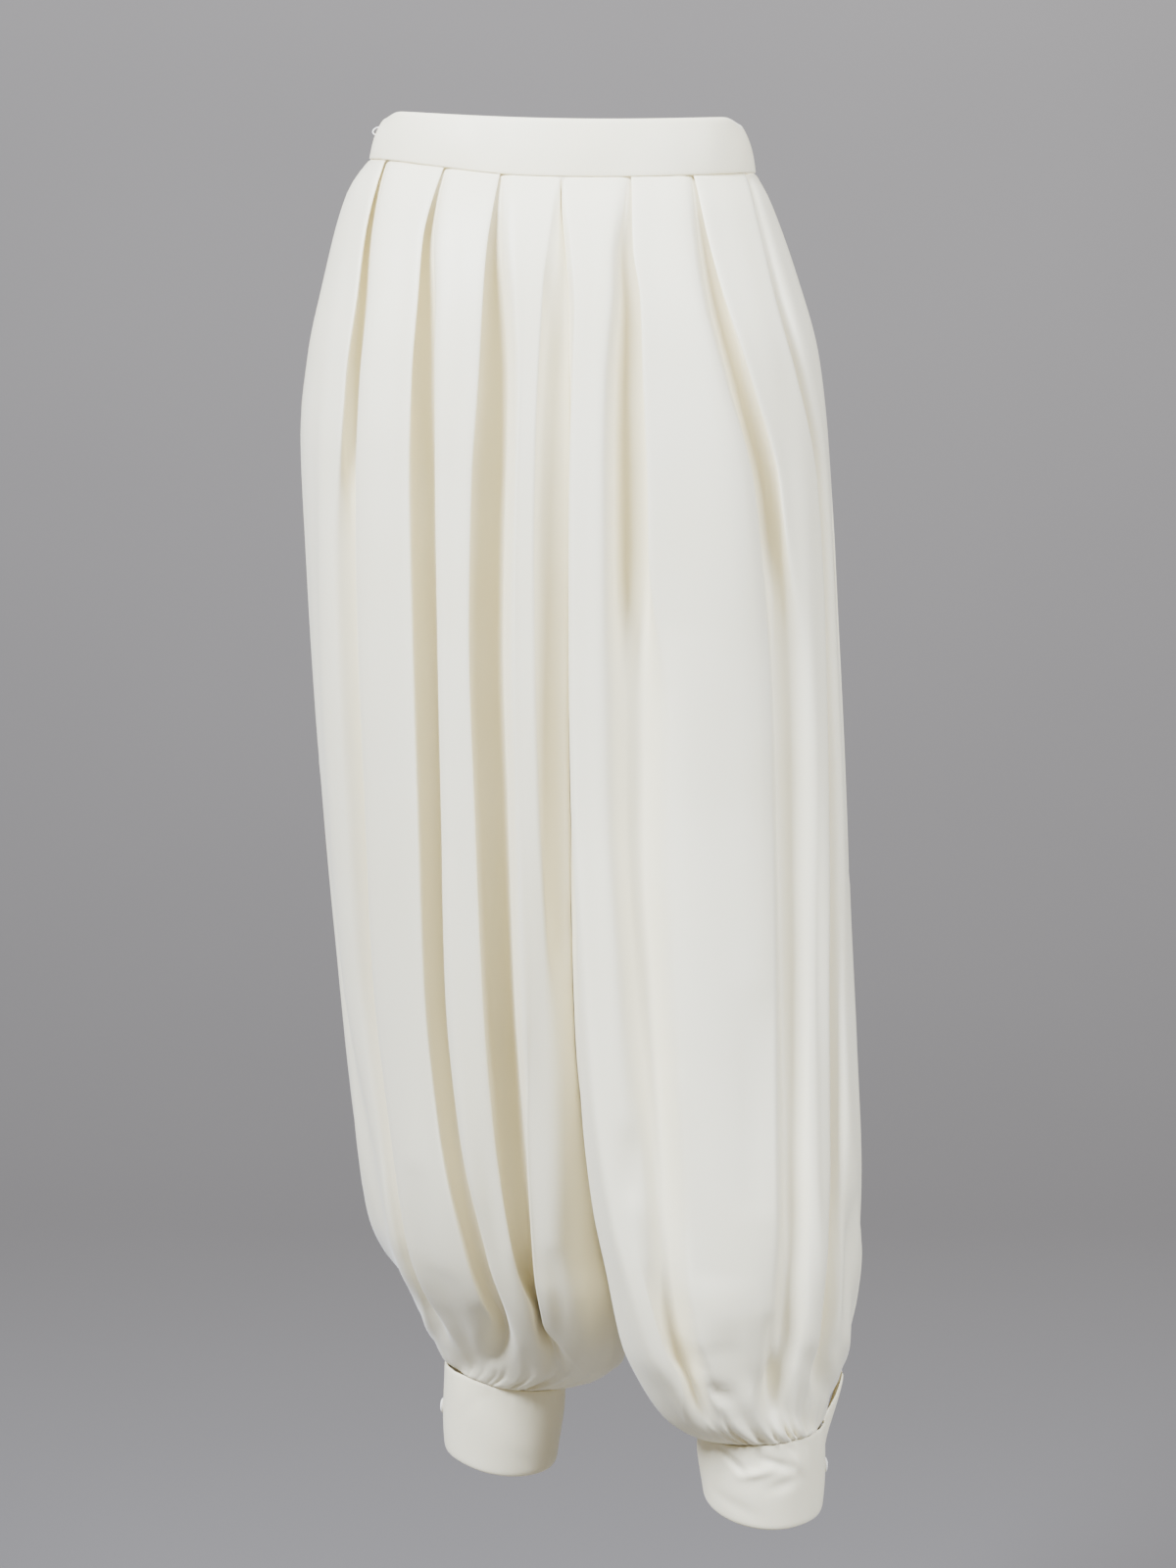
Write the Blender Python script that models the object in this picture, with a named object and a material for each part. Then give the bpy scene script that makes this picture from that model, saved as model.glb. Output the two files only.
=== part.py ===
"""Balloon trousers in ivory satin: legs pleated into a straight waistband, gathered into buttoned cuffs.

Metres, +Z up, -Y the front, +X the wearer's left. The origin is the centre of the waist, inside the
waistband, where the wearer's waist holds the garment. Tables are in millimetres and scaled by MM.
A leg's table gives distances outward from the centre plane, so both legs share the same functions.
"""

import math

import bpy
import numpy as np

MM = 0.001

# Driving dimensions, millimetres
WAIST_TOP_Z = 11.5
BAND_HEIGHT = 36.0
BAND_BOTTOM_Z = WAIST_TOP_Z - BAND_HEIGHT
BAND_WALL = 2.0
WAIST_HALF_WIDTH = 129.5
WAIST_HALF_DEPTH = 88.0
RIM_HALF_WIDTH = 119.5
RIM_HALF_DEPTH = 81.0
RIM_SAG = 5.5  # the band hangs lower at the centre front
RIM_SLOPE = -0.017  # and a little lower towards the wearer's left
RIM_FADE_Z = -125.0  # rows below this height are level again
CROTCH_Z = -330.0
SIDE_SEAM_BACK = 4.0  # the side seams lie just behind the widest point
SEAM_GAP = 0.3
WAIST_SEAM_GAP = 0.45
CLOTH_WALL_WAIST = 1.1
CLOTH_WALL_LEG = 1.8
FOLD_CLEARANCE = 2.0
LAYER_TURN = 1.0  # half the spacing of two folded layers
BAND_ROWS = ((0.0, 0.0), (0.45, 0.0), (0.86, 0.0), (0.965, 0.25), (1.0, 0.7))  # share of height, fold
CUFF_WALL = 2.0
CUFF_LIFT = CUFF_WALL + 0.7  # how far the upper end stands off the end below it
CUFF_OVERLAP = math.radians(30)
CUFF_BUTTON_ANGLE = math.radians(14)
CUFF_ROWS = (0.0, 0.33, 0.68, 1.0)  # shares of the height, seam to hem
FLARE_REACH = {"right": 6.0, "left": 15.0}  # of the upper end's free corner
FLARE_RISE = {"right": 5.0, "left": 24.0}
GATHER_DEPTH = 8.0
BUTTON_RADIUS = 5.5
BUTTON_THICKNESS = 2.4
BUTTON_SHARE = 0.62  # of the cuff's height, from its seam
BUTTON_SEAT = 0.3
LOOP_HEIGHT = 5.0
LOOP_REACH = 3.2
LOOP_WIRE = 0.45  # radius of the thread loop
LOOP_DROP = 13.0  # below the band's top edge
LOOP_BACK = 14.0  # in front of the widest point
LOOP_STAND = -0.05  # against the true curve, which the facets lie inside
ZIP_ROW = 1  # the slider lies on the facets below this row
ZIP_COLUMN = 8
SLIDER_SHARE = 0.62
SLIDER = {"width": 4.6, "length": 8.0, "height": 1.9, "ear": 0.7, "ear_length": 2.6}
SLIDER_SEAT = 0.3
PIN_AT = -1.4
PIN_LIFT = 4.0
PIN_RADIUS = 0.55
PULL = {
    "length": 17.0, "root": 1.15, "thickness": 0.9, "tilt": 5.0, "knuckle": 1.45, "hole": 0.85,
    "half_widths": (1.2, 1.25, 1.5, 1.8, 2.1, 2.2, 1.9, 1.1),
}
IVORY = (0.83, 0.81, 0.75, 1.0)
PEARL = (0.86, 0.85, 0.80, 1.0)
ZINC = (0.78, 0.77, 0.73, 1.0)

SIDES = {"right": -1.0, "left": 1.0}
FACES = {"front": -1.0, "back": 1.0}
CUFF_SEAM_Z = {"right": -871.7, "left": -865.5}

# Each cuff at its seam and at its hem: centre, radius and slopes
CUFF_COLUMNS = ("outward", "y", "z", "radius", "slope_out", "slope_back")
CUFF_RINGS = {
    "right": ((41.0, 36.0, -871.7, 42.0, 0.18, 0.0), (44.5, 36.0, -931.5, 39.0, 0.13, 0.14)),
    "left": ((133.0, -100.0, -865.5, 42.0, 0.08, 0.0), (134.5, -100.0, -916.5, 39.0, -0.1, 0.22)),
}

# Outer and inner reach of each leg, y of the side seam, and the rows' rise towards the outside
LEG_COLUMNS = ("z", "outer", "inner", "side_y", "rise")
LEG_ROWS = {
    "right": (
        (-22, 129.5, 0.2, 4, 0.0),
        (-49, 146, 0.2, 4, 0.0),
        (-98, 161, 0.2, 5, 0.0),
        (-146, 172, 0.2, 6, 0.0),
        (-206, 178, 0.2, 8, 0.0),
        (-277, 176, 0.2, 10, 0.0),
        (-379, 172, 0.2, 14, 0.0),
        (-426, 169, 0.2, 17, 0.0),
        (-483, 165, -0.8, 20, 0.0),
        (-521, 162, -2.4, 22, 0.0),
        (-588, 156, -6.8, 25, 0.01),
        (-698, 145, -22, 28, 0.04),
        (-756, 137, -36, 30, 0.07),
        (-781, 129, -43, 32, 0.09),
        (-818, 110, -48, 34, 0.12),
        (-848, 95, -42, 35, 0.14),
        (-862, 87, -25, 36, 0.16),
        (-871.7, 83.5, -1.5, 36, 0.18),
    ),
    "left": (
        (-22, 129.5, 0.2, 4, 0.0),
        (-49, 142, 0.2, 4, 0.0),
        (-98, 159, 0.2, 3, 0.0),
        (-148, 173, 0.2, 1, 0.0),
        (-206, 180, 0.2, -1, 0.0),
        (-323, 187.5, 0.2, -5, 0.0),
        (-426, 192, 1.0, -24, 0.0),
        (-521, 195, 6, -42, 0.0),
        (-617, 199, 12, -62, 0.01),
        (-700, 201, 22, -78, 0.03),
        (-745, 201, 31, -84, 0.04),
        (-790, 198, 39, -90, 0.05),
        (-820, 190, 50, -94, 0.06),
        (-845, 181, 66, -97, 0.07),
        (-858, 176, 80, -99, 0.08),
        (-865.5, 175, 91, -100, 0.08),
    ),
}

# Front or back of each leg: y of its face, y of the rise or inseam, and the rounding of its inner corner
FACE_COLUMNS = ("z", "face", "seam", "corner_w", "corner_d", "corner_power")
FACE_ROWS = {
    "front_right": (
        (-22, -88, -88, 3, 0.3, 1.5),
        (-49, -107, -98, 6, 7, 1.0),
        (-98, -123, -106, 12, 9, 1.0),
        (-148, -131, -104, 15, 11, 1.0),
        (-206, -136, -88, 17, 13, 1.0),
        (-277, -137, -48, 18, 14, 1.0),
        (-330, -136, 15, 18, 15, 1.05),
        (-426, -131, 16, 17, 17, 1.3),
        (-521, -124, 20, 17, 22, 1.6),
        (-617, -114, 25, 20, 38, 1.8),
        (-700, -104, 29, 30, 80, 2.0),
        (-756, -92, 31, 42, 112, 2.0),
        (-781, -84, 32, 45, 108, 2.0),
        (-818, -62, 34, 50, 90, 2.0),
        (-848, -33, 35, 55, 65, 2.0),
        (-862, -17, 36, 48, 50, 2.0),
        (-871.7, -6.5, 36, 42.5, 42.5, 2.0),
    ),
    "front_left": (
        (-22, -88, -88, 3, 0.3, 1.5),
        (-49, -108, -98, 5, 6, 1.6),
        (-98, -125, -104, 6, 12, 1.6),
        (-148, -135, -101, 6, 14, 1.6),
        (-206, -142, -86, 6.5, 16, 1.6),
        (-277, -146, -48, 6.5, 20, 1.6),
        (-330, -148, 15, 6.5, 22, 1.6),
        (-426, -152, -5, 7, 25, 1.6),
        (-521, -161, -25, 8, 30, 1.8),
        (-617, -170, -48, 9, 40, 2.0),
        (-700, -177, -70, 12, 50, 2.0),
        (-745, -179, -80, 15, 55, 2.0),
        (-790, -176, -90, 21, 60, 2.0),
        (-820, -168, -95, 30, 60, 2.0),
        (-845, -158, -98, 36, 50, 2.0),
        (-858, -149, -100, 40, 46, 2.0),
        (-865.5, -142, -100, 42, 42, 2.0),
    ),
    "back_right": (
        (-22, 88, 88, 3, 0.3, 1.5),
        (-49, 105, 103.8, 5, 1, 1.4),
        (-98, 120, 118.6, 8, 1.2, 1.4),
        (-148, 131, 127, 12, 5, 1.6),
        (-206, 139, 112, 16, 18, 1.8),
        (-277, 144, 68, 20, 30, 2.0),
        (-330, 146, 15, 24, 40, 2.0),
        (-426, 148, 16, 30, 50, 2.0),
        (-521, 149, 20, 35, 55, 2.0),
        (-617, 149, 25, 40, 60, 2.0),
        (-700, 146, 29, 45, 65, 2.0),
        (-756, 140, 31, 50, 70, 2.0),
        (-781, 132, 32, 55, 70, 2.0),
        (-818, 116, 34, 58, 68, 2.0),
        (-848, 98, 35, 58, 60, 2.0),
        (-862, 87, 36, 50, 50, 2.0),
        (-871.7, 78.5, 36, 42.5, 42.5, 2.0),
    ),
    "back_left": (
        (-22, 88, 88, 3, 0.3, 1.5),
        (-49, 105, 103.8, 5, 1, 1.4),
        (-98, 120, 118.6, 8, 1.2, 1.4),
        (-148, 131, 127, 12, 5, 1.6),
        (-206, 139, 112, 16, 18, 1.8),
        (-277, 141, 68, 20, 30, 2.0),
        (-330, 138, 15, 24, 40, 2.0),
        (-426, 122, -5, 30, 60, 2.0),
        (-521, 97, -25, 35, 60, 2.0),
        (-617, 68, -48, 40, 65, 2.0),
        (-700, 40, -70, 50, 70, 2.0),
        (-745, 22, -80, 55, 70, 2.0),
        (-790, 0, -90, 60, 70, 2.0),
        (-820, -19, -95, 60, 60, 2.0),
        (-845, -38, -98, 50, 50, 2.0),
        (-858, -50, -100, 45, 46, 2.0),
        (-865.5, -58, -100, 42, 42, 2.0),
    ),
}

# Each knife pleat: which way its crisp edge faces (1 the centre, -1 the side), its open depth and the
# width of its valley and soft side, the height where its edge goes soft, and the edge's distance
# outward from the centre plane at the heights of PLEAT_HEIGHTS
PLEAT_HEIGHTS = (-22, -70, -110, -160, -230, -330, -440, -560, -660, -760)
PLEAT_COLUMNS = ("facing", "depth", "valley", "soft", "soft_below", "edges")
PLEAT_ROWS = {
    "front_right": (
        (1, 0, 6, 8, -900, (3, 7, 12, 15, 17, 18, 16, 11, 14, 10)),
        (1, 19, 19, 12, -780, (41, 49, 52, 55, 60, 62, 59, 55, 48, 38)),
        (1, 16, 11, 10, -780, (78, 91, 94, 98, 100, 99, 97, 94, 85, 72)),
        (1, 10, 8, 9, -230, (118, 130, 135, 142, 146, 145, 142, 138, 128, 116)),
    ),
    "front_left": (
        (1, 0, 6, 8, -900, (3, 5, 6, 6, 6.5, 6.5, 7.5, 13, 19, 35)),
        (1, 14, 16, 14, -200, (46, 47, 52, 54, 57, 58, 58, 64, 72, 78)),
        (1, 10, 12, 14, -130, (86, 96, 105, 114, 121, 130, 138, 142, 146, 146)),
        (-1, 13, 9, 9, -620, (121, 131, 134, 138, 146, 154, 157, 159, 167, 168)),
    ),
    "back_right": (
        (1, 0, 6, 8, -900, (3, 5, 8, 12, 16, 20, 30, 30, 24, 14)),
        (1, 14, 15, 12, -420, (44, 50, 54, 57, 60, 61, 60, 56, 50, 40)),
        (1, 17, 13, 12, -560, (84, 93, 98, 102, 105, 104, 102, 98, 92, 80)),
        (1, 11, 9, 10, -260, (120, 131, 137, 143, 147, 146, 143, 138, 130, 118)),
    ),
    "back_left": (
        (1, 0, 6, 8, -900, (3, 5, 8, 12, 16, 22, 31, 41, 58, 80)),
        (1, 16, 14, 12, -520, (43, 49, 53, 56, 60, 63, 70, 80, 92, 106)),
        (1, 13, 12, 12, -330, (82, 91, 97, 103, 108, 112, 118, 124, 132, 140)),
        (-1, 12, 9, 10, -480, (119, 130, 136, 141, 148, 152, 158, 164, 170, 172)),
    ),
}

# How far along its opening a pleat is: hidden underfold in mm, share of the folded and open shapes
OPENING_COLUMNS = ("z", "under", "open", "spread")
OPENING_ROWS = (
    (-22, 14.0, 0.0, 0.0),
    (-45, 13.0, 0.12, 0.18),
    (-75, 11.5, 0.32, 0.38),
    (-110, 8.5, 0.55, 0.6),
    (-160, 5.5, 0.8, 0.85),
    (-230, 2.5, 1.0, 1.0),
    (-560, 1.0, 1.0, 0.9),
    (-700, 0.0, 0.85, 0.8),
    (-800, 0.0, 0.6, 0.7),
)

UPPER_ROWS = (-22, -36, -55, -85, -130, -190, -265, -330, -420, -525, -640)
LOWER_SHARES = (0.3, 0.5, 0.67, 0.81, 0.91, 1.0)  # of the way from there to the cuff
GATHER_START = 0.2
PLEAT_POINTS = 9
SIDE_POINTS = 3
CURVE_POINTS = 90


def remove_startup_objects():
    for obj in list(bpy.data.objects):
        bpy.data.objects.remove(obj, do_unlink=True)


def cloth_material(name, colour, roughness, metallic=0.0):
    material = bpy.data.materials.new(name)
    material.use_nodes = True
    shader = material.node_tree.nodes["Principled BSDF"]
    shader.inputs["Base Color"].default_value = colour
    shader.inputs["Roughness"].default_value = roughness
    shader.inputs["Metallic"].default_value = metallic
    return material


def add_solid(name, points, faces, material, smooth=True):
    """One closed mesh object from millimetre points."""
    mesh = bpy.data.meshes.new(name)
    mesh.from_pydata([tuple(c * MM for c in p) for p in points], [], faces)
    mesh.validate()
    if smooth:
        mesh.shade_smooth()
        mesh.set_sharp_from_angle(angle=math.radians(50))
    mesh.materials.append(material)
    obj = bpy.data.objects.new(name, mesh)
    bpy.context.scene.collection.objects.link(obj)
    return obj


def ramp(value, start, end):
    share = min(max((value - start) / (end - start), 0.0), 1.0)
    return share * share * (3 - 2 * share)


def smooth_value(heights, values, z):
    """Shape-preserving cubic through the table, whose heights fall from row to row."""
    x = -np.asarray(heights, float)
    y = np.asarray(values, float)
    at = min(max(-z, x[0]), x[-1])
    i = int(min(max(np.searchsorted(x, at) - 1, 0), len(x) - 2))
    steps = np.diff(x)
    slopes = np.diff(y) / steps

    def tangent(k):
        if k in (0, len(x) - 1):
            return slopes[min(k, len(slopes) - 1)]
        before, after = slopes[k - 1], slopes[k]
        if before * after <= 0:
            return 0.0
        return 2 * before * after / (before + after)

    h = steps[i]
    t = (at - x[i]) / h
    return (
        y[i] * (1 + 2 * t) * (1 - t) ** 2
        + tangent(i) * h * t * (1 - t) ** 2
        + y[i + 1] * t * t * (3 - 2 * t)
        - tangent(i + 1) * h * t * t * (1 - t)
    )


def table_at(columns, rows, z):
    heights = [row[0] for row in rows]
    return {
        name: smooth_value(heights, [row[i] for row in rows], z)
        for i, name in enumerate(columns)
        if name != "z"
    }


def roundness(z, seam_z):
    """Exponent of the outline's curve: an ellipse at the waist and cuff, fuller between them."""
    return 2.0 + 0.35 * ramp(z, -22, -150) * (1 - ramp(z, -700, seam_z))


def quarter(width, depth, power, count):
    """Points of a quarter superellipse from (0, depth) to (width, 0)."""
    angle = np.linspace(0, math.pi / 2, count)
    return np.stack(
        [width * np.sin(angle) ** (2 / power), depth * np.cos(angle) ** (2 / power)], axis=1
    )


def base_curve(leg, face, z):
    """The outline without pleats, from the rise or inseam round to the side seam: (outward, y) points."""
    reach = table_at(LEG_COLUMNS, LEG_ROWS[leg], z)
    shape = table_at(FACE_COLUMNS, FACE_ROWS[f"{face}_{leg}"], z)
    sign = FACES[face]
    corner_w = shape["corner_w"]
    corner_d = min(shape["corner_d"], max(abs(shape["face"] - shape["seam"]) - SEAM_GAP, 0.05))
    corner_x = reach["inner"] + corner_w
    corner_y = shape["face"] - sign * corner_d
    start_y = sign * min(sign * shape["seam"] + SEAM_GAP / 2, sign * corner_y - 0.05)
    wall = np.linspace(start_y, corner_y, 14)
    inner = np.stack([np.full(14, reach["inner"]), wall], axis=1)
    bend = quarter(corner_d, corner_w, max(shape["corner_power"], 0.8), 16)
    corner = np.stack([corner_x - bend[:, 1], corner_y + sign * bend[:, 0]], axis=1)
    side_y = reach["side_y"] + sign * SEAM_GAP / 2
    power = roundness(z, CUFF_SEAM_Z[leg])
    panel = quarter(reach["outer"] - corner_x, abs(shape["face"] - side_y), power, CURVE_POINTS)
    outer = np.stack([corner_x + panel[:, 0], side_y + sign * panel[:, 1]], axis=1)
    points = np.concatenate([inner, corner[1:], outer[1:]])
    keep = np.concatenate([[True], np.hypot(*np.diff(points, axis=0).T) > 1e-3])
    points = points[keep]
    length = np.concatenate([[0], np.cumsum(np.hypot(*np.diff(points, axis=0).T))])
    return points, length, corner_x, reach


def on_curve(points, length, at, sign):
    """Points and inward normals at distances along the outline."""
    xy = np.stack([np.interp(at, length, points[:, k]) for k in (0, 1)], axis=1)
    step = 1.5
    ahead = np.stack([np.interp(at + step, length, points[:, k]) for k in (0, 1)], axis=1)
    behind = np.stack([np.interp(at - step, length, points[:, k]) for k in (0, 1)], axis=1)
    tangent = ahead - behind
    tangent /= np.hypot(*tangent.T)[:, None]
    return xy, sign * np.stack([tangent[:, 1], -tangent[:, 0]], axis=1)


def pleat_shape(pleat, crisp, opening):
    """(along, inward) of one pleat's points around its crisp edge."""
    depth, valley, soft = pleat["depth"], pleat["valley"], pleat["soft"]
    turn, under = LAYER_TURN, opening["under"]
    flat = 4 * turn
    folded = (
        (-9.0, 0.0),
        (-3.6, 0.5 * flat),
        (-0.6, flat),
        (under, flat),
        (under + turn, flat - turn),
        (under, 2 * turn),
        (0.0, 2 * turn),
        (-turn, 0.0),
        (under + 2.5, 0.0),
    )
    sharp = (
        (-valley - soft, 0.0),
        (-valley - 0.45 * soft, 0.62 * depth),
        (-valley, depth),
        (-0.5 * valley + under, depth),
        (-0.15 * valley + under, 0.86 * depth),
        (-1.2 + 0.6 * under, 0.52 * depth),
        (-1.6, 0.16 * depth + 0.6),
        (0.0, 0.0),
        (9.0, 0.0),
    )
    wide = valley + soft
    gentle = tuple(
        (-wide + 1.5 * wide * k / 8, 0.8 * depth * math.sin(math.pi * k / 8) ** 2) for k in range(9)
    )
    share, spread = opening["open"], opening["spread"]
    points = []
    for fold, edge, low in zip(folded, sharp, gentle):
        along = low[0] + (edge[0] - low[0]) * crisp
        inward = low[1] + (edge[1] - low[1]) * crisp
        points.append((fold[0] + (along - fold[0]) * spread, fold[1] + (inward - fold[1]) * share))
    if pleat["facing"] < 0:
        points = [(-along, inward) for along, inward in reversed(points)]
    return points


def row_columns(leg, face, z):
    """Distances along the outline and depths inward of a row's points, seam to side seam."""
    points, length, corner_x, reach = base_curve(leg, face, z)
    opening = table_at(OPENING_COLUMNS, OPENING_ROWS, z)
    total = length[-1]
    start = int(np.argmax(points[:, 0] >= corner_x - 1e-6))
    outward, along = points[start:, 0], length[start:]
    ats, depths = [0.0], [0.0]
    for number, row in enumerate(PLEAT_ROWS[f"{face}_{leg}"]):
        pleat = dict(zip(PLEAT_COLUMNS, row))
        edge_x = smooth_value(PLEAT_HEIGHTS, pleat["edges"], z)
        centre = float(np.interp(max(edge_x, corner_x), outward, along))
        shape = pleat_shape(pleat, 1 - ramp(z, pleat["soft_below"] + 50, pleat["soft_below"] - 50), opening)
        if number == 0:
            shape = corner_pleat(shape, centre)
        low = ats[-1] + FOLD_CLEARANCE
        ats += [max(centre + a, low + k) if number else centre + a for k, (a, _) in enumerate(shape)]
        depths += [w for _, w in shape]
    last = ats[-1]
    for k in range(1, SIDE_POINTS + 1):
        ats.append(last + (total - last) * k / SIDE_POINTS)
        depths.append(0.0)
    return np.array(ats), np.array(depths), points, length, reach


def corner_pleat(shape, centre):
    """The pleat beside the centre seam: its valley is the inner wall of the leg."""
    return [(centre * (k + 1) / 8 - centre, 0.0) for k in range(8)] + [shape[8]]


def gathered(ats, depths, total, share):
    """Blends a row towards the even waves of the gathers."""
    count = len(ats)
    even = np.linspace(0, total, count)
    phase = 2 * math.pi * np.arange(count) / (PLEAT_POINTS / 2)
    wave = GATHER_DEPTH * 0.5 * (1 - np.cos(phase)) * math.sin(math.pi * min(share, 0.93)) ** 0.8
    wave *= 0.75 + 0.25 * np.sin(np.arange(count) * 1.7)
    ends = np.minimum(np.arange(count), np.arange(count)[::-1])
    wave *= np.minimum(ends / 2.0, 1.0)
    ease = ramp(share, 0.1, 0.85)
    return ats + (even - ats) * ease, depths * (1 - ease) + wave * ease


def panel_rows(leg):
    low = UPPER_ROWS[-1]
    return UPPER_ROWS + tuple(low + (CUFF_SEAM_Z[leg] - low) * s for s in LOWER_SHARES)


def rim_offset(x, y, z):
    """How much the waist's sag and slope move a point at this height."""
    front = min(max(0.0, -y / WAIST_HALF_DEPTH), 1.2)
    return (RIM_SLOPE * x - RIM_SAG * front * front) * ramp(z, RIM_FADE_Z, -24)


def panel_grid(leg, face):
    """Middle surface of a panel: rows of points, and each point's offset to the outer side."""
    sign = SIDES[leg]
    grid, flat_normals, miters = [], [], []
    rows = panel_rows(leg)
    low = rows[len(UPPER_ROWS) - 1]
    for index, z in enumerate(rows):
        ats, depths, points, length, reach = row_columns(leg, face, z)
        share = max(0.0, (z - low) / (CUFF_SEAM_Z[leg] - low) - GATHER_START) / (1 - GATHER_START)
        if share > 0:
            ats, depths = gathered(ats, depths, length[-1], share)
        ats = np.clip(ats, 0, length[-1])
        base, inward = on_curve(points, length, ats, FACES[face])
        if z <= CROTCH_Z:
            inward[0] = (1.0, 0.0)
        inward[-1] = (-1.0, 0.0)
        wall = wall_at(z)
        middle = base + inward * (depths + wall / 2)[:, None]
        centre = (reach["outer"] + reach["inner"]) / 2
        level = BAND_BOTTOM_Z - WAIST_SEAM_GAP if index == 0 else z
        if index == len(rows) - 1:
            level += SEAM_GAP
        heights = level + reach["rise"] * (middle[:, 0] - centre)
        heights += [rim_offset(sign * x, y, z) for x, y in middle]
        grid.append(np.column_stack([middle[:, 0] * sign, middle[:, 1], heights]))
        normals, miter = row_normals(middle, inward, FACES[face])
        flat_normals.append(normals * (sign, 1.0))
        miters.append(miter)
    return np.array(grid), np.array(flat_normals), np.array(miters), rows


def wall_at(z):
    return CLOTH_WALL_WAIST + (CLOTH_WALL_LEG - CLOTH_WALL_WAIST) * ramp(z, -60, -330)


def row_normals(middle, inward, sign):
    """Outward unit normals in the row's plane, with the mitre that keeps the wall's width."""
    steps = np.diff(middle, axis=0)
    steps /= np.maximum(np.hypot(*steps.T), 1e-9)[:, None]
    before = np.vstack([steps[:1], steps])
    after = np.vstack([steps, steps[-1:]])
    left = np.stack([-before[:, 1] - after[:, 1], before[:, 0] + after[:, 0]], axis=1)
    size = np.maximum(np.hypot(*left.T), 1e-6)
    normals = left / size[:, None]
    if (normals[-2] * inward[-2]).sum() > 0:
        normals = -normals
    normals[0], normals[-1] = -inward[0], -inward[-1]
    miter = np.minimum(2 / size, 1.9)
    miter[0] = miter[-1] = 1.0
    return normals, miter


def panel_offsets(grid, flat_normals, miters, rows):
    """Vectors from the middle surface to the outer one, square to the surface in space."""
    offsets = np.zeros_like(grid)
    for r, z in enumerate(rows):
        up = grid[max(r - 1, 0)] - grid[min(r + 1, len(rows) - 1)]
        flat = np.column_stack([flat_normals[r], np.zeros(len(up))])
        lean = (up * flat).sum(axis=1) / np.maximum(np.abs(up[:, 2]), 1e-6)
        if r in (0, len(rows) - 1):
            lean[:] = 0
        lean[0] = lean[-1] = 0
        lean = np.clip(lean, -1.6, 1.6)
        normal = flat - lean[:, None] * np.array([0, 0, 1.0])
        normal /= np.linalg.norm(normal, axis=1)[:, None]
        offsets[r] = normal * (wall_at(z) / 2 * miters[r])[:, None]
    return offsets


def shell_faces(rows, columns):
    """Quads of a closed wall whose outer grid comes first and inner grid second."""
    def at(side, r, c):
        return (side * rows + r) * columns + c

    faces = []
    for r in range(rows - 1):
        for c in range(columns - 1):
            faces.append((at(0, r, c), at(0, r + 1, c), at(0, r + 1, c + 1), at(0, r, c + 1)))
            faces.append((at(1, r, c), at(1, r, c + 1), at(1, r + 1, c + 1), at(1, r + 1, c)))
    for c in range(columns - 1):
        faces.append((at(0, 0, c), at(0, 0, c + 1), at(1, 0, c + 1), at(1, 0, c)))
        last = rows - 1
        faces.append((at(0, last, c), at(1, last, c), at(1, last, c + 1), at(0, last, c + 1)))
    for r in range(rows - 1):
        end = columns - 1
        faces.append((at(0, r, 0), at(1, r, 0), at(1, r + 1, 0), at(0, r + 1, 0)))
        faces.append((at(0, r, end), at(0, r + 1, end), at(1, r + 1, end), at(1, r, end)))
    return faces


def add_shell(name, outer, inner, material, flip):
    rows, columns = outer.shape[:2]
    points = np.concatenate([outer.reshape(-1, 3), inner.reshape(-1, 3)])
    faces = shell_faces(rows, columns)
    if flip:
        faces = [tuple(reversed(face)) for face in faces]
    return add_solid(name, points.tolist(), faces, material)


def add_leg_panel(leg, face, material):
    grid, flat_normals, miters, rows = panel_grid(leg, face)
    offsets = panel_offsets(grid, flat_normals, miters, rows)
    flip = SIDES[leg] * FACES[face] < 0
    return add_shell(f"{face}_{leg}", grid + offsets, grid - offsets, material, not flip)


def band_point(angle, share, inset):
    """Point of the waistband at this angle from the centre of its half and share of its height."""
    width = WAIST_HALF_WIDTH + (RIM_HALF_WIDTH - WAIST_HALF_WIDTH) * share - inset
    depth = WAIST_HALF_DEPTH + (RIM_HALF_DEPTH - WAIST_HALF_DEPTH) * share - inset
    bulge = 1.5 * math.sin(math.pi * share)
    return (width + bulge) * math.sin(angle), (depth + bulge) * math.cos(angle)


def add_waistband(name, face, start, end, columns, material):
    """A stretch of the waistband between two angles, its top edge a soft fold."""
    sign = FACES[face]
    outer, inner = [], []
    for share, fold in BAND_ROWS:
        for inset, target in ((fold, outer), (BAND_WALL - fold, inner)):
            row = []
            for k in range(columns):
                angle = start + (end - start) * k / (columns - 1)
                x, y = band_point(angle, share, inset)
                z = WAIST_TOP_Z - BAND_HEIGHT * (1 - share)
                row.append((x, sign * y, z + rim_offset(x, sign * y, 0.0)))
            target.append(row)
    return add_shell(name, np.array(outer), np.array(inner), material, sign < 0)


def add_waistbands(material):
    """The front in one piece, the back in two that meet at the zip."""
    gap = SEAM_GAP / 2
    front = math.pi / 2 - (gap - SIDE_SEAM_BACK) / WAIST_HALF_DEPTH
    back = math.pi / 2 - (gap + SIDE_SEAM_BACK) / WAIST_HALF_DEPTH
    middle = gap / RIM_HALF_WIDTH
    add_waistband("waistband_front", "front", -front, front, 25, material)
    add_waistband("waistband_back_right", "back", -back, -middle, 13, material)
    add_waistband("waistband_back_left", "back", middle, back, 13, material)


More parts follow.
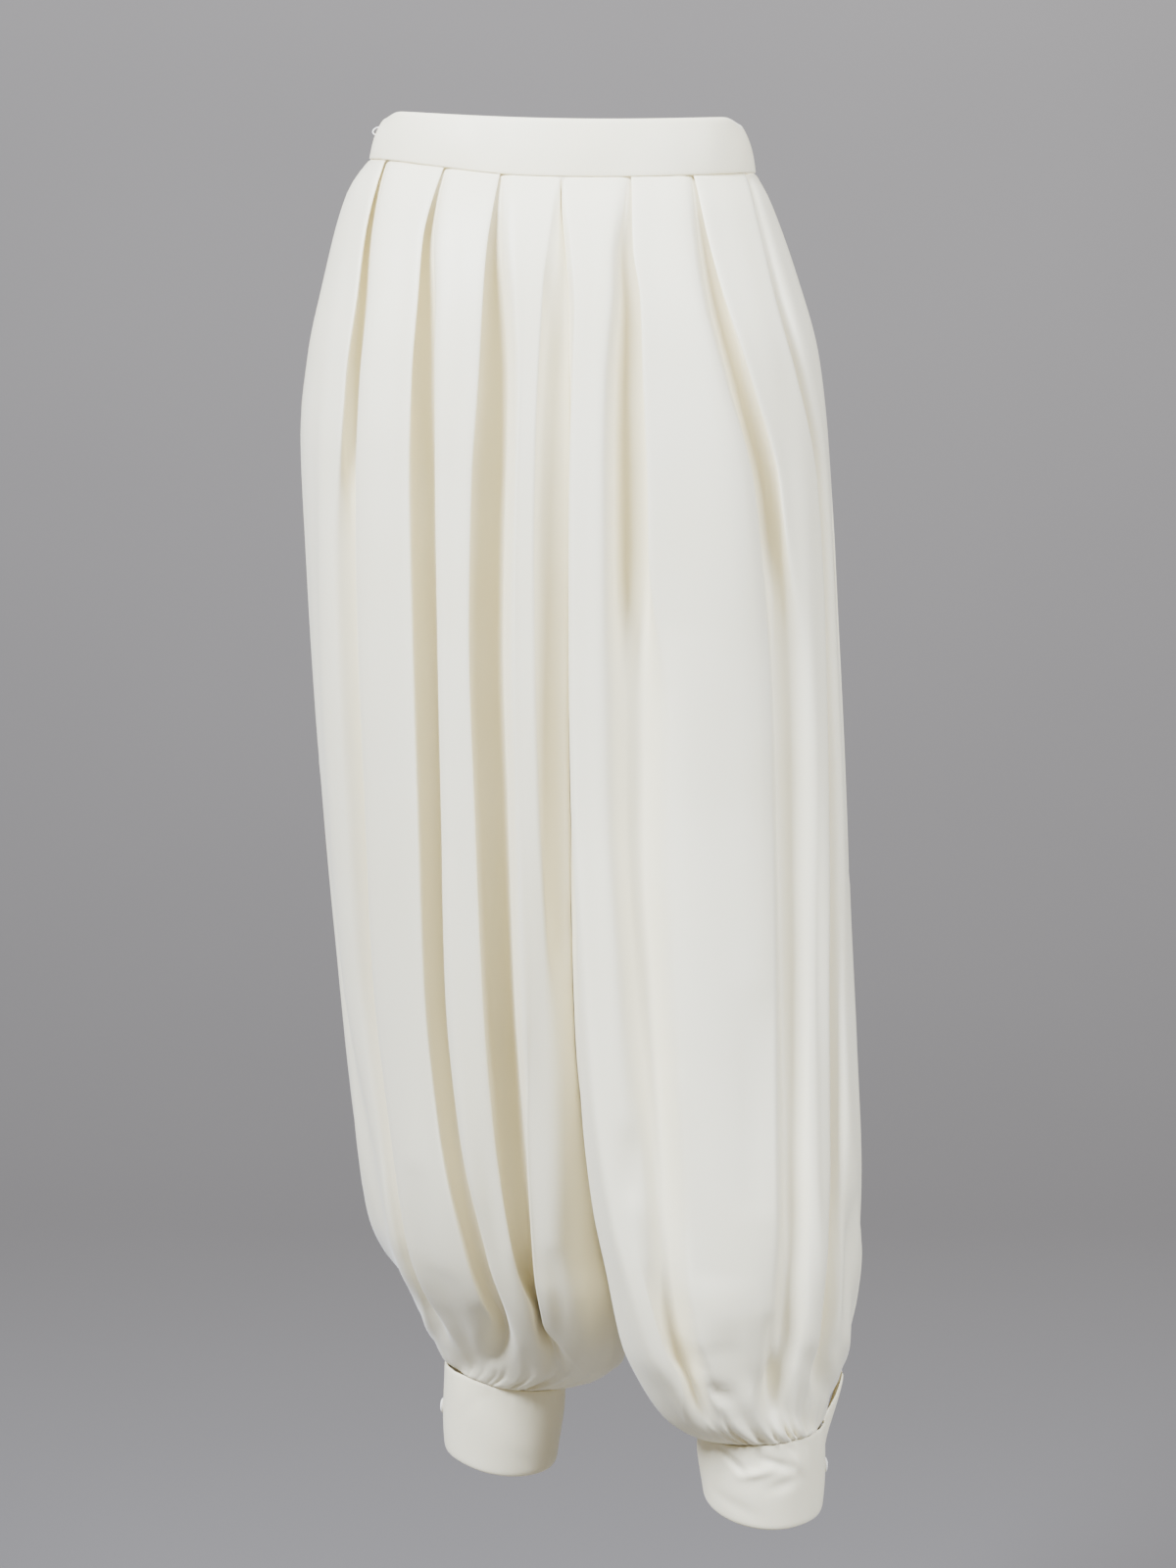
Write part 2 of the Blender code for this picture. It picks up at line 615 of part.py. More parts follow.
def cuff_point(leg, angle, share, inset):
    """Angle 0 is the outer side, growing towards the back; share goes from the seam to the hem."""
    seam, hem = CUFF_RINGS[leg]
    ring = {name: a + (b - a) * share for name, a, b in zip(CUFF_COLUMNS, seam, hem)}
    radius = ring["radius"] + 1.2 * math.sin(math.pi * share) - inset
    outward, back = radius * math.cos(angle), radius * math.sin(angle)
    height = ring["z"] + ring["slope_out"] * outward + ring["slope_back"] * back
    return [SIDES[leg] * (ring["outward"] + outward), ring["y"] + back, height]


def cuff_turn(k, columns):
    """Angle along the band from its under end to its upper end."""
    return CUFF_BUTTON_ANGLE + CUFF_OVERLAP / 2 - (2 * math.pi + CUFF_OVERLAP) * (1 - k / (columns - 1))


def add_cuff(leg, material):
    """A straight band whose ends overlap on the outer side; the upper end's corner stands free."""
    columns = 41
    outer, inner = [], []
    for row, share in enumerate(CUFF_ROWS):
        for inset, target in ((0.0, outer), (CUFF_WALL, inner)):
            line = []
            for k in range(columns):
                angle = cuff_turn(k, columns)
                along = k / (columns - 1)
                lift = CUFF_LIFT * ramp(along, 0.78, 0.9)
                point = cuff_point(leg, angle, share, inset - lift)
                if row == 0:
                    point[2] -= SEAM_GAP
                free = ramp(along, 0.9, 1.0) * (1 - ramp(share, 0.0, 0.55))
                point[0] += SIDES[leg] * FLARE_REACH[leg] * free * math.cos(angle)
                point[1] += FLARE_REACH[leg] * free * math.sin(angle)
                point[2] += FLARE_RISE[leg] * free
                line.append(point)
            target.append(line)
    return add_shell(f"cuff_{leg}", np.array(outer), np.array(inner), material, SIDES[leg] < 0)


def frame_at(origin, normal, up):
    """Unit axes (across, up, normal) at a point, up squared to the normal."""
    n = np.array(normal) / np.linalg.norm(normal)
    u = np.array(up) - n * np.dot(up, n)
    u /= np.linalg.norm(u)
    return np.array(origin), np.cross(u, n), u, n


def placed(frame, points):
    origin, across, up, normal = frame
    return [(origin + across * a + up * b + normal * c).tolist() for a, b, c in points]


def add_turned(name, frame, profile, segments, material):
    """A round solid turned about its frame's normal, from (radius, height) points, bottom to top."""
    points = [(0.0, 0.0, profile[0][1])]
    for radius, height in profile:
        for k in range(segments):
            angle = 2 * math.pi * k / segments
            points.append((radius * math.cos(angle), radius * math.sin(angle), height))
    points.append((0.0, 0.0, profile[-1][1]))
    faces = []
    for k in range(segments):
        after = (k + 1) % segments
        faces.append((0, 1 + after, 1 + k))
        for ring in range(len(profile) - 1):
            low, high = 1 + ring * segments, 1 + (ring + 1) * segments
            faces.append((low + k, low + after, high + after, high + k))
        top = 1 + (len(profile) - 1) * segments
        faces.append((top + k, top + after, len(points) - 1))
    return add_solid(name, placed(frame, points), faces, material)


def add_button(leg, material):
    """A shallow dished button on the overlap of the cuff."""
    point = np.array(cuff_point(leg, CUFF_BUTTON_ANGLE, BUTTON_SHARE, -CUFF_LIFT))
    ahead = np.array(cuff_point(leg, CUFF_BUTTON_ANGLE + 0.02, BUTTON_SHARE, -CUFF_LIFT))
    below = np.array(cuff_point(leg, CUFF_BUTTON_ANGLE, BUTTON_SHARE + 0.02, -CUFF_LIFT))
    normal = np.cross(ahead - point, point - below) * SIDES[leg]
    frame = frame_at(point + normal / np.linalg.norm(normal) * BUTTON_SEAT, normal, (0, 0, 1))
    r, t = BUTTON_RADIUS, BUTTON_THICKNESS
    profile = ((0.45 * r, 0), (0.8 * r, 0.1 * t), (r, 0.5 * t), (0.95 * r, 0.88 * t), (0.85 * r, t),
               (0.66 * r, 0.92 * t), (0.5 * r, 0.7 * t))
    return add_turned(f"button_{leg}", frame, profile, 24, material)


def tube_points(path, radius, sides):
    """Rings round an open path that lies in an upright plane facing the front."""
    path = np.array(path)
    rings = []
    for k, point in enumerate(path):
        way = path[min(k + 1, len(path) - 1)] - path[max(k - 1, 0)]
        way /= np.linalg.norm(way)
        depth = np.array((0, 1.0, 0))
        across = np.cross(way, depth)
        for j in range(sides):
            angle = 2 * math.pi * j / sides
            rings.append((point + radius * (math.cos(angle) * depth + math.sin(angle) * across)).tolist())
    return rings


def add_side_loop(material):
    """A thread loop at the right side: a small upright bow standing off the band."""
    bow = []
    for k in range(13):
        turn = math.pi * k / 12
        drop = LOOP_DROP - LOOP_HEIGHT / 2 * math.cos(turn)
        angle = math.acos(LOOP_BACK / WAIST_HALF_DEPTH)
        x = LOOP_STAND + LOOP_REACH * math.sin(turn) + band_point(angle, 1 - drop / BAND_HEIGHT, 0.0)[0]
        bow.append((-x, -LOOP_BACK, WAIST_TOP_Z - drop + rim_offset(-x, -LOOP_BACK, 0.0)))
    sides = 8
    points = tube_points(bow, LOOP_WIRE, sides)
    faces = [tuple(reversed(range(sides))), tuple(range((len(bow) - 1) * sides, len(bow) * sides))]
    for ring in range(len(bow) - 1):
        for j in range(sides):
            k = (j + 1) % sides
            low, high = ring * sides, (ring + 1) * sides
            faces.append((low + j, low + k, high + k, high + j))
    return add_solid("side_loop", points, faces, material)


def zip_frame():
    """Frame on the centre back seam, from the outer points of the panel beside it."""
    grid, flat_normals, miters, rows = panel_grid("left", "back")
    outer = (grid + panel_offsets(grid, flat_normals, miters, rows))[:, ZIP_COLUMN]
    upper, lower = outer[ZIP_ROW], outer[ZIP_ROW + 1]
    up = (upper - lower) * (0.0, 1.0, 1.0)
    origin = (lower + (upper - lower) * SLIDER_SHARE) * (0.0, 1.0, 1.0)
    return frame_at(origin, np.cross((-1.0, 0.0, 0.0), up), up)


def add_block(name, frame, low, high, material):
    """A box between two corners of a frame."""
    points = [(a, b, c) for a in (low[0], high[0]) for b in (low[1], high[1]) for c in (low[2], high[2])]
    faces = [(0, 1, 3, 2), (4, 6, 7, 5), (0, 4, 5, 1), (2, 3, 7, 6), (0, 2, 6, 4), (1, 5, 7, 3)]
    return add_solid(name, placed(frame, points), faces, material)


def add_rod(name, frame, centre, radius, half, material, segments=20):
    """A round rod across a frame."""
    origin, across, up, normal = frame
    turned = (origin + up * centre[0] + normal * centre[1] - across * half, up, normal, across)
    return add_turned(name, turned, ((radius, 0), (radius, 2 * half)), segments, material)


def combine(target, others, operation):
    for other in others:
        modifier = target.modifiers.new(other.name, "BOOLEAN")
        modifier.operation = operation
        modifier.solver = "EXACT"
        modifier.object = other
        other.hide_render = True
        other.hide_set(True)


def add_zip(material):
    """Slider of the centre back zip with two ears and a pin, and the pull tab that hangs from it."""
    frame = zip_frame()
    half, end, top = SLIDER["width"] / 2, SLIDER["length"] / 2, SLIDER["height"] + SLIDER_SEAT
    slider = add_block("zip_slider", frame, (-half, -end, SLIDER_SEAT), (half, end, top), material)
    extras = []
    for side in (-1, 1):
        low = sorted((side * half, side * (half - SLIDER["ear"])))
        span = SLIDER["ear_length"] / 2
        foot, tip = (low[0], PIN_AT - span, top - 1.0), (low[1], PIN_AT + span, PIN_LIFT + span)
        extras.append(add_block(f"ear_{side}", frame, foot, tip, material))
    extras.append(add_rod("pin", frame, (PIN_AT, PIN_LIFT), PIN_RADIUS, half - SLIDER["ear"] / 2, material))
    combine(slider, extras, "UNION")

    origin, across, up, normal = frame
    hinge = origin + up * PIN_AT + normal * PIN_LIFT
    tilt = math.radians(PULL["tilt"])
    down = -up * math.cos(tilt) - normal * math.sin(tilt)
    out = normal * math.cos(tilt) - up * math.sin(tilt)
    tab_frame = (hinge, -across, down, out)
    widths = PULL["half_widths"]
    points = []
    for k, width in enumerate(widths):
        reach = PULL["root"] + (PULL["length"] - PULL["root"]) * k / (len(widths) - 1)
        for side, height in ((-1, -1), (1, -1), (1, 1), (-1, 1)):
            points.append((side * width, reach, height * PULL["thickness"] / 2))
    faces = [(0, 1, 2, 3), tuple(reversed(range(len(points) - 4, len(points))))]
    for ring in range(len(widths) - 1):
        for j in range(4):
            k = (j + 1) % 4
            low, high = 4 * ring, 4 * (ring + 1)
            faces.append((low + j, high + j, high + k, low + k))
    pull = add_solid("zip_pull", placed(tab_frame, points), faces, material)
    knuckle = add_rod("knuckle", frame, (PIN_AT, PIN_LIFT), PULL["knuckle"], widths[0], material)
    bore = add_rod("bore", frame, (PIN_AT, PIN_LIFT), PULL["hole"], widths[0] + 1.0, material)
    combine(pull, [knuckle], "UNION")
    combine(pull, [bore], "DIFFERENCE")


def main():
    remove_startup_objects()
    satin = cloth_material("ivory_satin", IVORY, 0.42)
    for leg in SIDES:
        for face in FACES:
            add_leg_panel(leg, face, satin)
    add_waistbands(satin)
    pearl = cloth_material("pearl_button", PEARL, 0.25)
    for leg in SIDES:
        add_cuff(leg, satin)
        add_button(leg, pearl)
    add_side_loop(cloth_material("ivory_thread", IVORY, 0.6))
    add_zip(cloth_material("enamelled_zip", ZINC, 0.35, 0.4))


main()
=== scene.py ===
import math

import bpy
import numpy as np
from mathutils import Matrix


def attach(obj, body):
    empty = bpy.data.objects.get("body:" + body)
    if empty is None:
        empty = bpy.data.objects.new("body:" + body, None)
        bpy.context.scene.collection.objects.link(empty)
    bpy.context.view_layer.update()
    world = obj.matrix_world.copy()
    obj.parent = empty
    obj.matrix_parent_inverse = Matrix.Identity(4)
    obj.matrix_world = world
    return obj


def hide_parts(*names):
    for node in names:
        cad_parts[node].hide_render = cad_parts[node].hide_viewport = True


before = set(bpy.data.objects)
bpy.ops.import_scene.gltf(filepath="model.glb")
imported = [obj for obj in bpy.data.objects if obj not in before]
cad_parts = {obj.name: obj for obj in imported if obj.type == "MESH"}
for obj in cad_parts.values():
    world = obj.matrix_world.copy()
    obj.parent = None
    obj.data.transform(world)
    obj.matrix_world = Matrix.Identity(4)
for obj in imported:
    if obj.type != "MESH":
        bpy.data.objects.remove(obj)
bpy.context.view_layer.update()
scene = bpy.context.scene
mm = 0.001
print("frame loaded:", len(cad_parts), "nodes")


def linear(hexColour):
    channels = [int(hexColour[i:i + 2], 16) / 255 for i in (1, 3, 5)]
    return tuple(c / 12.92 if c <= 0.04045 else ((c + 0.055) / 1.055) ** 2.4 for c in channels) + (1.0,)


def addNode(tree, kind, settings=None, links=None):
    node = tree.nodes.new(kind)
    for key, value in (settings or {}).items():
        if isinstance(key, str) and hasattr(node, key):
            setattr(node, key, value)
        else:
            node.inputs[key].default_value = value
    for socket, source in (links or {}).items():
        tree.links.new(source, node.inputs[socket])
    return node


def ramp(value, start, end):
    share = np.clip((value - start) / (end - start), 0.0, 1.0)
    return share * share * (3 - 2 * share)


def addMesh(name, points, faces, material, smooth=True):
    mesh = bpy.data.meshes.new(name)
    mesh.from_pydata([tuple(p) for p in np.asarray(points, float) * mm], [], faces)
    mesh.update()
    if smooth:
        mesh.shade_smooth()
    mesh.materials.append(material)
    piece = bpy.data.objects.new(name, mesh)
    scene.collection.objects.link(piece)
    return piece


# At the photograph's viewing angle; "down" is in degrees
cameraView = {"place": (0.017, -2.300, -0.100), "down": 8.43, "lens": 77.5, "sensor": 36.0}


def makeCamera(view):
    data = bpy.data.cameras.new("studioCamera")
    data.lens = view["lens"]
    data.sensor_width = view["sensor"]
    camera = bpy.data.objects.new("studioCamera", data)
    camera.location = view["place"]
    camera.rotation_euler = (math.radians(90 - view["down"]), 0, 0)
    scene.collection.objects.link(camera)
    scene.camera = camera


makeCamera(cameraView)


satinLook = {
    "light": "#f8efcf", "dark": "#f3e8c2",  # ivory, a little deeper in patches
    "roughness": 0.52, "sheen": 0.25, "sheenRoughness": 0.4,
    "glow": 0.14, "glowReach": 3.0,  # mm that light spreads inside the thin cloth
    "grain": 0.9,  # mm; the real threads are 0.1 mm, drawn coarser so that they show at all
    "slub": 14.0,  # mm between the long uneven threads
    "relief": 0.28,
}


def makeSatin(look):
    # Polyester satin-backed crepe, woven and piece-dyed: a soft broad sheen over a very fine matt grain
    material = bpy.data.materials.new("ivorySatinCrepe")
    material.use_nodes = True
    tree = material.node_tree
    shader = tree.nodes["Principled BSDF"]
    where = addNode(tree, "ShaderNodeTexCoord").outputs["Object"]
    patches = addNode(tree, "ShaderNodeTexNoise", {"Scale": 1 / 0.09, "Detail": 2.0}, {"Vector": where})
    tall = addNode(tree, "ShaderNodeMapping", {"Scale": (1.0, 1.0, 0.03)}, {"Vector": where})
    slubs = addNode(
        tree, "ShaderNodeTexNoise", {"Scale": 1 / (look["slub"] * mm), "Detail": 3.0, "Roughness": 0.6},
        {"Vector": tall.outputs["Vector"]})
    tone = addNode(
        tree, "ShaderNodeMix", {"data_type": "RGBA", 6: linear(look["light"]), 7: linear(look["dark"])},
        {0: patches.outputs["Fac"]})
    tree.links.new(tone.outputs[2], shader.inputs["Base Color"])
    grain = addNode(
        tree, "ShaderNodeTexNoise", {"Scale": 1 / (look["grain"] * mm), "Detail": 1.5, "Roughness": 0.5},
        {"Vector": where})
    height = addNode(
        tree, "ShaderNodeMath", {"operation": "MULTIPLY_ADD", 1: 0.35},
        {0: grain.outputs["Fac"], 2: slubs.outputs["Fac"]})
    bump = addNode(
        tree, "ShaderNodeBump", {"Strength": look["relief"], "Distance": 0.3 * mm},
        {"Height": height.outputs[0]})
    tree.links.new(bump.outputs["Normal"], shader.inputs["Normal"])
    rough = look["roughness"]
    gloss = addNode(
        tree, "ShaderNodeMapRange",
        {"From Min": 0.3, "From Max": 0.7, "To Min": rough - 0.05, "To Max": rough + 0.06},
        {"Value": slubs.outputs["Fac"]})
    tree.links.new(gloss.outputs["Result"], shader.inputs["Roughness"])
    shader.inputs["Sheen Weight"].default_value = look["sheen"]
    shader.inputs["Sheen Roughness"].default_value = look["sheenRoughness"]
    shader.inputs["Specular IOR Level"].default_value = 0.35
    shader.inputs["Subsurface Weight"].default_value = look["glow"]
    shader.inputs["Subsurface Radius"].default_value = (1.0, 0.82, 0.6)
    shader.inputs["Subsurface Scale"].default_value = look["glowReach"] * mm
    return material


def makeButtonResin(colours):
    # Polyester resin, cast and tumbled: pearly, glossy, with faint swirls
    material = bpy.data.materials.new("pearlPolyesterResin")
    material.use_nodes = True
    tree = material.node_tree
    shader = tree.nodes["Principled BSDF"]
    where = addNode(tree, "ShaderNodeTexCoord").outputs["Object"]
    swirl = addNode(
        tree, "ShaderNodeTexNoise", {"Scale": 1 / (4.0 * mm), "Detail": 2.0, "Distortion": 1.5},
        {"Vector": where})
    tone = addNode(
        tree, "ShaderNodeMix", {"data_type": "RGBA", 6: linear(colours[0]), 7: linear(colours[1])},
        {0: swirl.outputs["Fac"]})
    tree.links.new(tone.outputs[2], shader.inputs["Base Color"])
    shader.inputs["Roughness"].default_value = 0.22
    shader.inputs["IOR"].default_value = 1.55
    shader.inputs["Coat Weight"].default_value = 0.4
    return material


def makeThread(colour):
    # Spun polyester thread, twisted: matt, with a fine spiral
    material = bpy.data.materials.new("spunPolyesterThread")
    material.use_nodes = True
    tree = material.node_tree
    shader = tree.nodes["Principled BSDF"]
    where = addNode(tree, "ShaderNodeTexCoord").outputs["Object"]
    twist = addNode(
        tree, "ShaderNodeTexWave", {"Scale": 1 / (0.6 * mm) / 6.3, "bands_direction": "DIAGONAL"},
        {"Vector": where})
    bump = addNode(
        tree, "ShaderNodeBump", {"Strength": 0.4, "Distance": 0.1 * mm}, {"Height": twist.outputs["Fac"]})
    tree.links.new(bump.outputs["Normal"], shader.inputs["Normal"])
    shader.inputs["Base Color"].default_value = linear(colour)
    shader.inputs["Roughness"].default_value = 0.75
    shader.inputs["Sheen Weight"].default_value = 0.3
    return material


def makeEnamel(colour):
    # Die-cast zinc, spray-enamelled to match the cloth: smooth, slightly orange-peeled
    material = bpy.data.materials.new("enamelledZinc")
    material.use_nodes = True
    tree = material.node_tree
    shader = tree.nodes["Principled BSDF"]
    where = addNode(tree, "ShaderNodeTexCoord").outputs["Object"]
    peel = addNode(tree, "ShaderNodeTexNoise", {"Scale": 1 / (0.8 * mm), "Detail": 1.0}, {"Vector": where})
    bump = addNode(
        tree, "ShaderNodeBump", {"Strength": 0.15, "Distance": 0.1 * mm}, {"Height": peel.outputs["Fac"]})
    tree.links.new(bump.outputs["Normal"], shader.inputs["Normal"])
    shader.inputs["Base Color"].default_value = linear(colour)
    shader.inputs["Roughness"].default_value = 0.3
    shader.inputs["Coat Weight"].default_value = 0.3
    return material


satin = makeSatin(satinLook)
resin = makeButtonResin(("#efece2", "#dfd9ca"))
thread = makeThread("#ece8dc")
enamel = makeEnamel("#e4e0d4")
print("materials made")


# The garment's outline in millimetres, from the solids' driving tables, with the legs' inner edges closed up
waist = {
    "topZ": 11.5, "bandHeight": 36.0, "halfWidth": 129.5, "halfDepth": 88.0,
    "rimHalfWidth": 119.5, "rimHalfDepth": 81.0, "sag": 7.0, "slope": -0.017, "fadeZ": -125.0,
    "seamBack": 4.0, "seamLift": 5.0, "rimDrop": 4.5,
}
seamGap = 0.06  # between two panels' edges
crotchZ = -330.0
sides = {"right": -1.0, "left": 1.0}
faces = {"front": -1.0, "back": 1.0}
cuffSeamZ = {"right": -871.7, "left": -865.5}

legColumns = ("z", "outer", "inner", "sideY", "rise")
legRows = {
    "right": (
        (-22, 129.5, 0.03, 4, 0.0),
        (-49, 146, 0.03, 4, 0.0),
        (-98, 161, 0.03, 5, 0.0),
        (-146, 172, 0.03, 6, 0.0),
        (-206, 178, 0.03, 8, 0.0),
        (-277, 176, 0.03, 10, 0.0),
        (-379, 172, 0.03, 14, 0.0),
        (-426, 169, -0.8, 17, 0.0),
        (-483, 165, -3.4, 20, 0.0),
        (-521, 162, -5.6, 22, 0.0),
        (-588, 156, -9.8, 25, 0.01),
        (-698, 145, -22, 28, 0.04),
        (-756, 137, -36, 30, 0.07),
        (-781, 129, -43, 32, 0.09),
        (-818, 110, -48, 34, 0.12),
        (-848, 95, -42, 35, 0.14),
        (-862, 87, -25, 36, 0.16),
        (-871.7, 83.5, -1.5, 36, 0.18),
    ),
    "left": (
        (-22, 129.5, 0.03, 4, 0.0),
        (-49, 142, 0.03, 4, 0.0),
        (-98, 159, 0.03, 3, 0.0),
        (-148, 173, 0.03, 1, 0.0),
        (-206, 180, 0.03, -1, 0.0),
        (-323, 187.5, 0.03, -5, 0.0),
        (-426, 192, 1.0, -24, 0.0),
        (-521, 195, 6, -42, 0.0),
        (-617, 199, 12, -62, 0.01),
        (-700, 201, 22, -78, 0.03),
        (-745, 201, 31, -84, 0.04),
        (-790, 198, 39, -90, 0.05),
        (-820, 190, 50, -94, 0.06),
        (-845, 181, 66, -97, 0.07),
        (-858, 176, 80, -99, 0.08),
        (-865.5, 175, 91, -100, 0.08),
    ),
}

faceColumns = ("z", "face", "seam", "cornerWidth", "cornerDepth", "cornerPower")
faceRows = {
    "front_right": (
        (-22, -88, -88, 3, 0.3, 1.5),
        (-49, -107, -98, 6, 7, 1.0),
        (-98, -123, -106, 12, 9, 1.0),
        (-148, -131, -104, 15, 11, 1.0),
        (-206, -136, -88, 17, 13, 1.0),
        (-277, -137, -48, 18, 14, 1.0),
        (-330, -136, 15, 18, 15, 1.05),
        (-426, -131, 16, 17, 14, 1.2),
        (-521, -124, 20, 17, 12, 1.2),
        (-617, -114, 25, 20, 16, 1.4),
        (-700, -104, 29, 30, 50, 1.8),
        (-756, -92, 31, 42, 112, 2.0),
        (-781, -84, 32, 45, 108, 2.0),
        (-818, -62, 34, 50, 90, 2.0),
        (-848, -33, 35, 55, 65, 2.0),
        (-862, -17, 36, 48, 50, 2.0),
        (-871.7, -6.5, 36, 42.5, 42.5, 2.0),
    ),
    "front_left": (
        (-22, -88, -88, 3, 0.3, 1.5),
        (-49, -108, -98, 5, 6, 1.6),
        (-98, -125, -104, 6, 12, 1.6),
        (-148, -135, -101, 6, 14, 1.6),
        (-206, -142, -86, 6.5, 16, 1.6),
        (-277, -146, -48, 6.5, 20, 1.6),
        (-330, -148, 15, 6.5, 22, 1.6),
        (-426, -152, -5, 7, 25, 1.6),
        (-521, -161, -25, 8, 30, 1.8),
        (-617, -170, -48, 9, 40, 2.0),
        (-700, -177, -70, 12, 50, 2.0),
        (-745, -179, -80, 15, 55, 2.0),
        (-790, -176, -90, 21, 60, 2.0),
        (-820, -168, -95, 30, 60, 2.0),
        (-845, -158, -98, 36, 50, 2.0),
        (-858, -149, -100, 40, 46, 2.0),
        (-865.5, -142, -100, 42, 42, 2.0),
    ),
    "back_right": (
        (-22, 88, 88, 3, 0.3, 1.5),
        (-49, 105, 103.8, 5, 1, 1.4),
        (-98, 120, 118.6, 8, 1.2, 1.4),
        (-148, 131, 127, 12, 5, 1.6),
        (-206, 139, 112, 16, 18, 1.8),
        (-277, 144, 68, 20, 30, 2.0),
        (-330, 146, 15, 24, 40, 2.0),
        (-426, 148, 16, 30, 50, 2.0),
        (-521, 149, 20, 35, 55, 2.0),
        (-617, 149, 25, 40, 60, 2.0),
        (-700, 146, 29, 45, 65, 2.0),
        (-756, 140, 31, 50, 70, 2.0),
        (-781, 132, 32, 55, 70, 2.0),
        (-818, 116, 34, 58, 68, 2.0),
        (-848, 98, 35, 58, 60, 2.0),
        (-862, 87, 36, 50, 50, 2.0),
        (-871.7, 78.5, 36, 42.5, 42.5, 2.0),
    ),
    "back_left": (
        (-22, 88, 88, 3, 0.3, 1.5),
        (-49, 105, 103.8, 5, 1, 1.4),
        (-98, 120, 118.6, 8, 1.2, 1.4),
        (-148, 131, 127, 12, 5, 1.6),
        (-206, 139, 112, 16, 18, 1.8),
        (-277, 141, 68, 20, 30, 2.0),
        (-330, 138, 15, 24, 40, 2.0),
        (-426, 122, -5, 30, 60, 2.0),
        (-521, 97, -25, 35, 60, 2.0),
        (-617, 68, -48, 40, 65, 2.0),
        (-700, 40, -70, 50, 70, 2.0),
        (-745, 22, -80, 55, 70, 2.0),
        (-790, 0, -90, 60, 70, 2.0),
        (-820, -19, -95, 60, 60, 2.0),
        (-845, -38, -98, 50, 50, 2.0),
        (-858, -50, -100, 45, 46, 2.0),
        (-865.5, -58, -100, 42, 42, 2.0),
    ),
}

# Knife pleats: facing (1 the centre, -1 the side), open depth, width of the valley and of its soft side,
# height below which the crisp edge goes soft, and the edge's distance outward at pleatHeights
pleatHeights = (-22, -70, -110, -160, -230, -330, -440, -560, -660, -760, -820, -866)
pleatRows = {
    "front_right": (
        (1, 0, 6, 8, -900, (3, 7, 12, 15, 17, 18, 16, 11, 14, 10, 4, 8)),
        (1, 19, 19, 12, -812, (41, 49, 52, 55, 60, 62, 59, 55, 48, 33, 14, 16)),
        (1, 16, 11, 10, -812, (78, 91, 94, 98, 100, 99, 97, 94, 85, 66, 51, 52)),
        (1, 10, 8, 9, -230, (118, 130, 135, 142, 146, 145, 142, 138, 128, 114, 94, 72)),
    ),
    "front_left": (
        (1, 0, 6, 8, -900, (3, 5, 6, 6, 6.5, 6.5, 7.5, 13, 19, 35, 55, 92)),
        (1, 14, 16, 14, -320, (46, 47, 52, 54, 57, 58, 58, 64, 72, 78, 92, 112)),
        (1, 11, 12, 14, -300, (87, 97, 107, 124, 144, 153, 157, 158, 158, 156, 150, 144)),
        (-1, 13, 9, 9, -720, (121, 131, 139, 152, 167, 173, 175, 176, 178, 176, 170, 160)),
    ),
    "back_right": (
        (1, 0, 6, 8, -900, (3, 5, 8, 12, 16, 20, 30, 30, 24, 14, 6, 4)),
        (1, 14, 15, 12, -420, (44, 50, 54, 57, 60, 61, 60, 56, 50, 40, 32, 28)),
        (1, 17, 13, 12, -560, (84, 93, 98, 102, 105, 104, 102, 98, 92, 80, 66, 52)),
        (1, 11, 9, 10, -260, (120, 131, 137, 143, 147, 146, 143, 138, 130, 118, 96, 72)),
    ),
    "back_left": (
        (1, 0, 6, 8, -900, (3, 5, 8, 12, 16, 22, 31, 41, 58, 80, 88, 100)),
        (1, 16, 14, 12, -520, (43, 49, 53, 56, 60, 63, 70, 80, 92, 106, 112, 118)),
        (1, 13, 12, 12, -330, (82, 91, 97, 103, 108, 112, 118, 124, 132, 140, 140, 138)),
        (-1, 12, 9, 10, -480, (119, 130, 136, 141, 148, 152, 158, 164, 170, 172, 166, 156)),
    ),
}
openingColumns = ("z", "under", "open", "spread")  # a pleat's hidden fold in mm, and how open it is
openingRows = (
    (-22, 14.0, 0.0, 0.0),
    (-45, 13.0, 0.12, 0.18),
    (-75, 11.5, 0.32, 0.38),
    (-110, 8.5, 0.55, 0.6),
    (-160, 5.5, 0.8, 0.85),
    (-230, 2.5, 1.0, 1.0),
    (-560, 1.0, 1.0, 0.9),
    (-700, 0.0, 0.85, 0.8),
    (-800, 0.0, 0.7, 0.7),
    (-840, 0.0, 0.5, 0.6),
    (-866, 0.0, 0.2, 0.5),
)


def smoothValue(heights, values, z):
    # shape-preserving cubic through a table whose heights fall from row to row
    x = -np.asarray(heights, float)
    y = np.asarray(values, float)
    at = min(max(-z, x[0]), x[-1])
    i = int(min(max(np.searchsorted(x, at) - 1, 0), len(x) - 2))
    steps = np.diff(x)
    slopes = np.diff(y) / steps

    def tangent(k):
        if k in (0, len(x) - 1):
            return slopes[min(k, len(slopes) - 1)]
        before, after = slopes[k - 1], slopes[k]
        if before * after <= 0:
            return 0.0
        return 2 * before * after / (before + after)

    h = steps[i]
    t = (at - x[i]) / h
    return (
        y[i] * (1 + 2 * t) * (1 - t) ** 2
        + tangent(i) * h * t * (1 - t) ** 2
        + y[i + 1] * t * t * (3 - 2 * t)
        - tangent(i + 1) * h * t * t * (1 - t)
    )


def tableAt(columns, rows, z):
    heights = [row[0] for row in rows]
    return {name: smoothValue(heights, [row[i] for row in rows], z) for i, name in enumerate(columns) if i}


def quarterRound(width, depth, power, count):
    angle = np.linspace(0, math.pi / 2, count)
    return np.stack([width * np.sin(angle) ** (2 / power), depth * np.cos(angle) ** (2 / power)], axis=1)


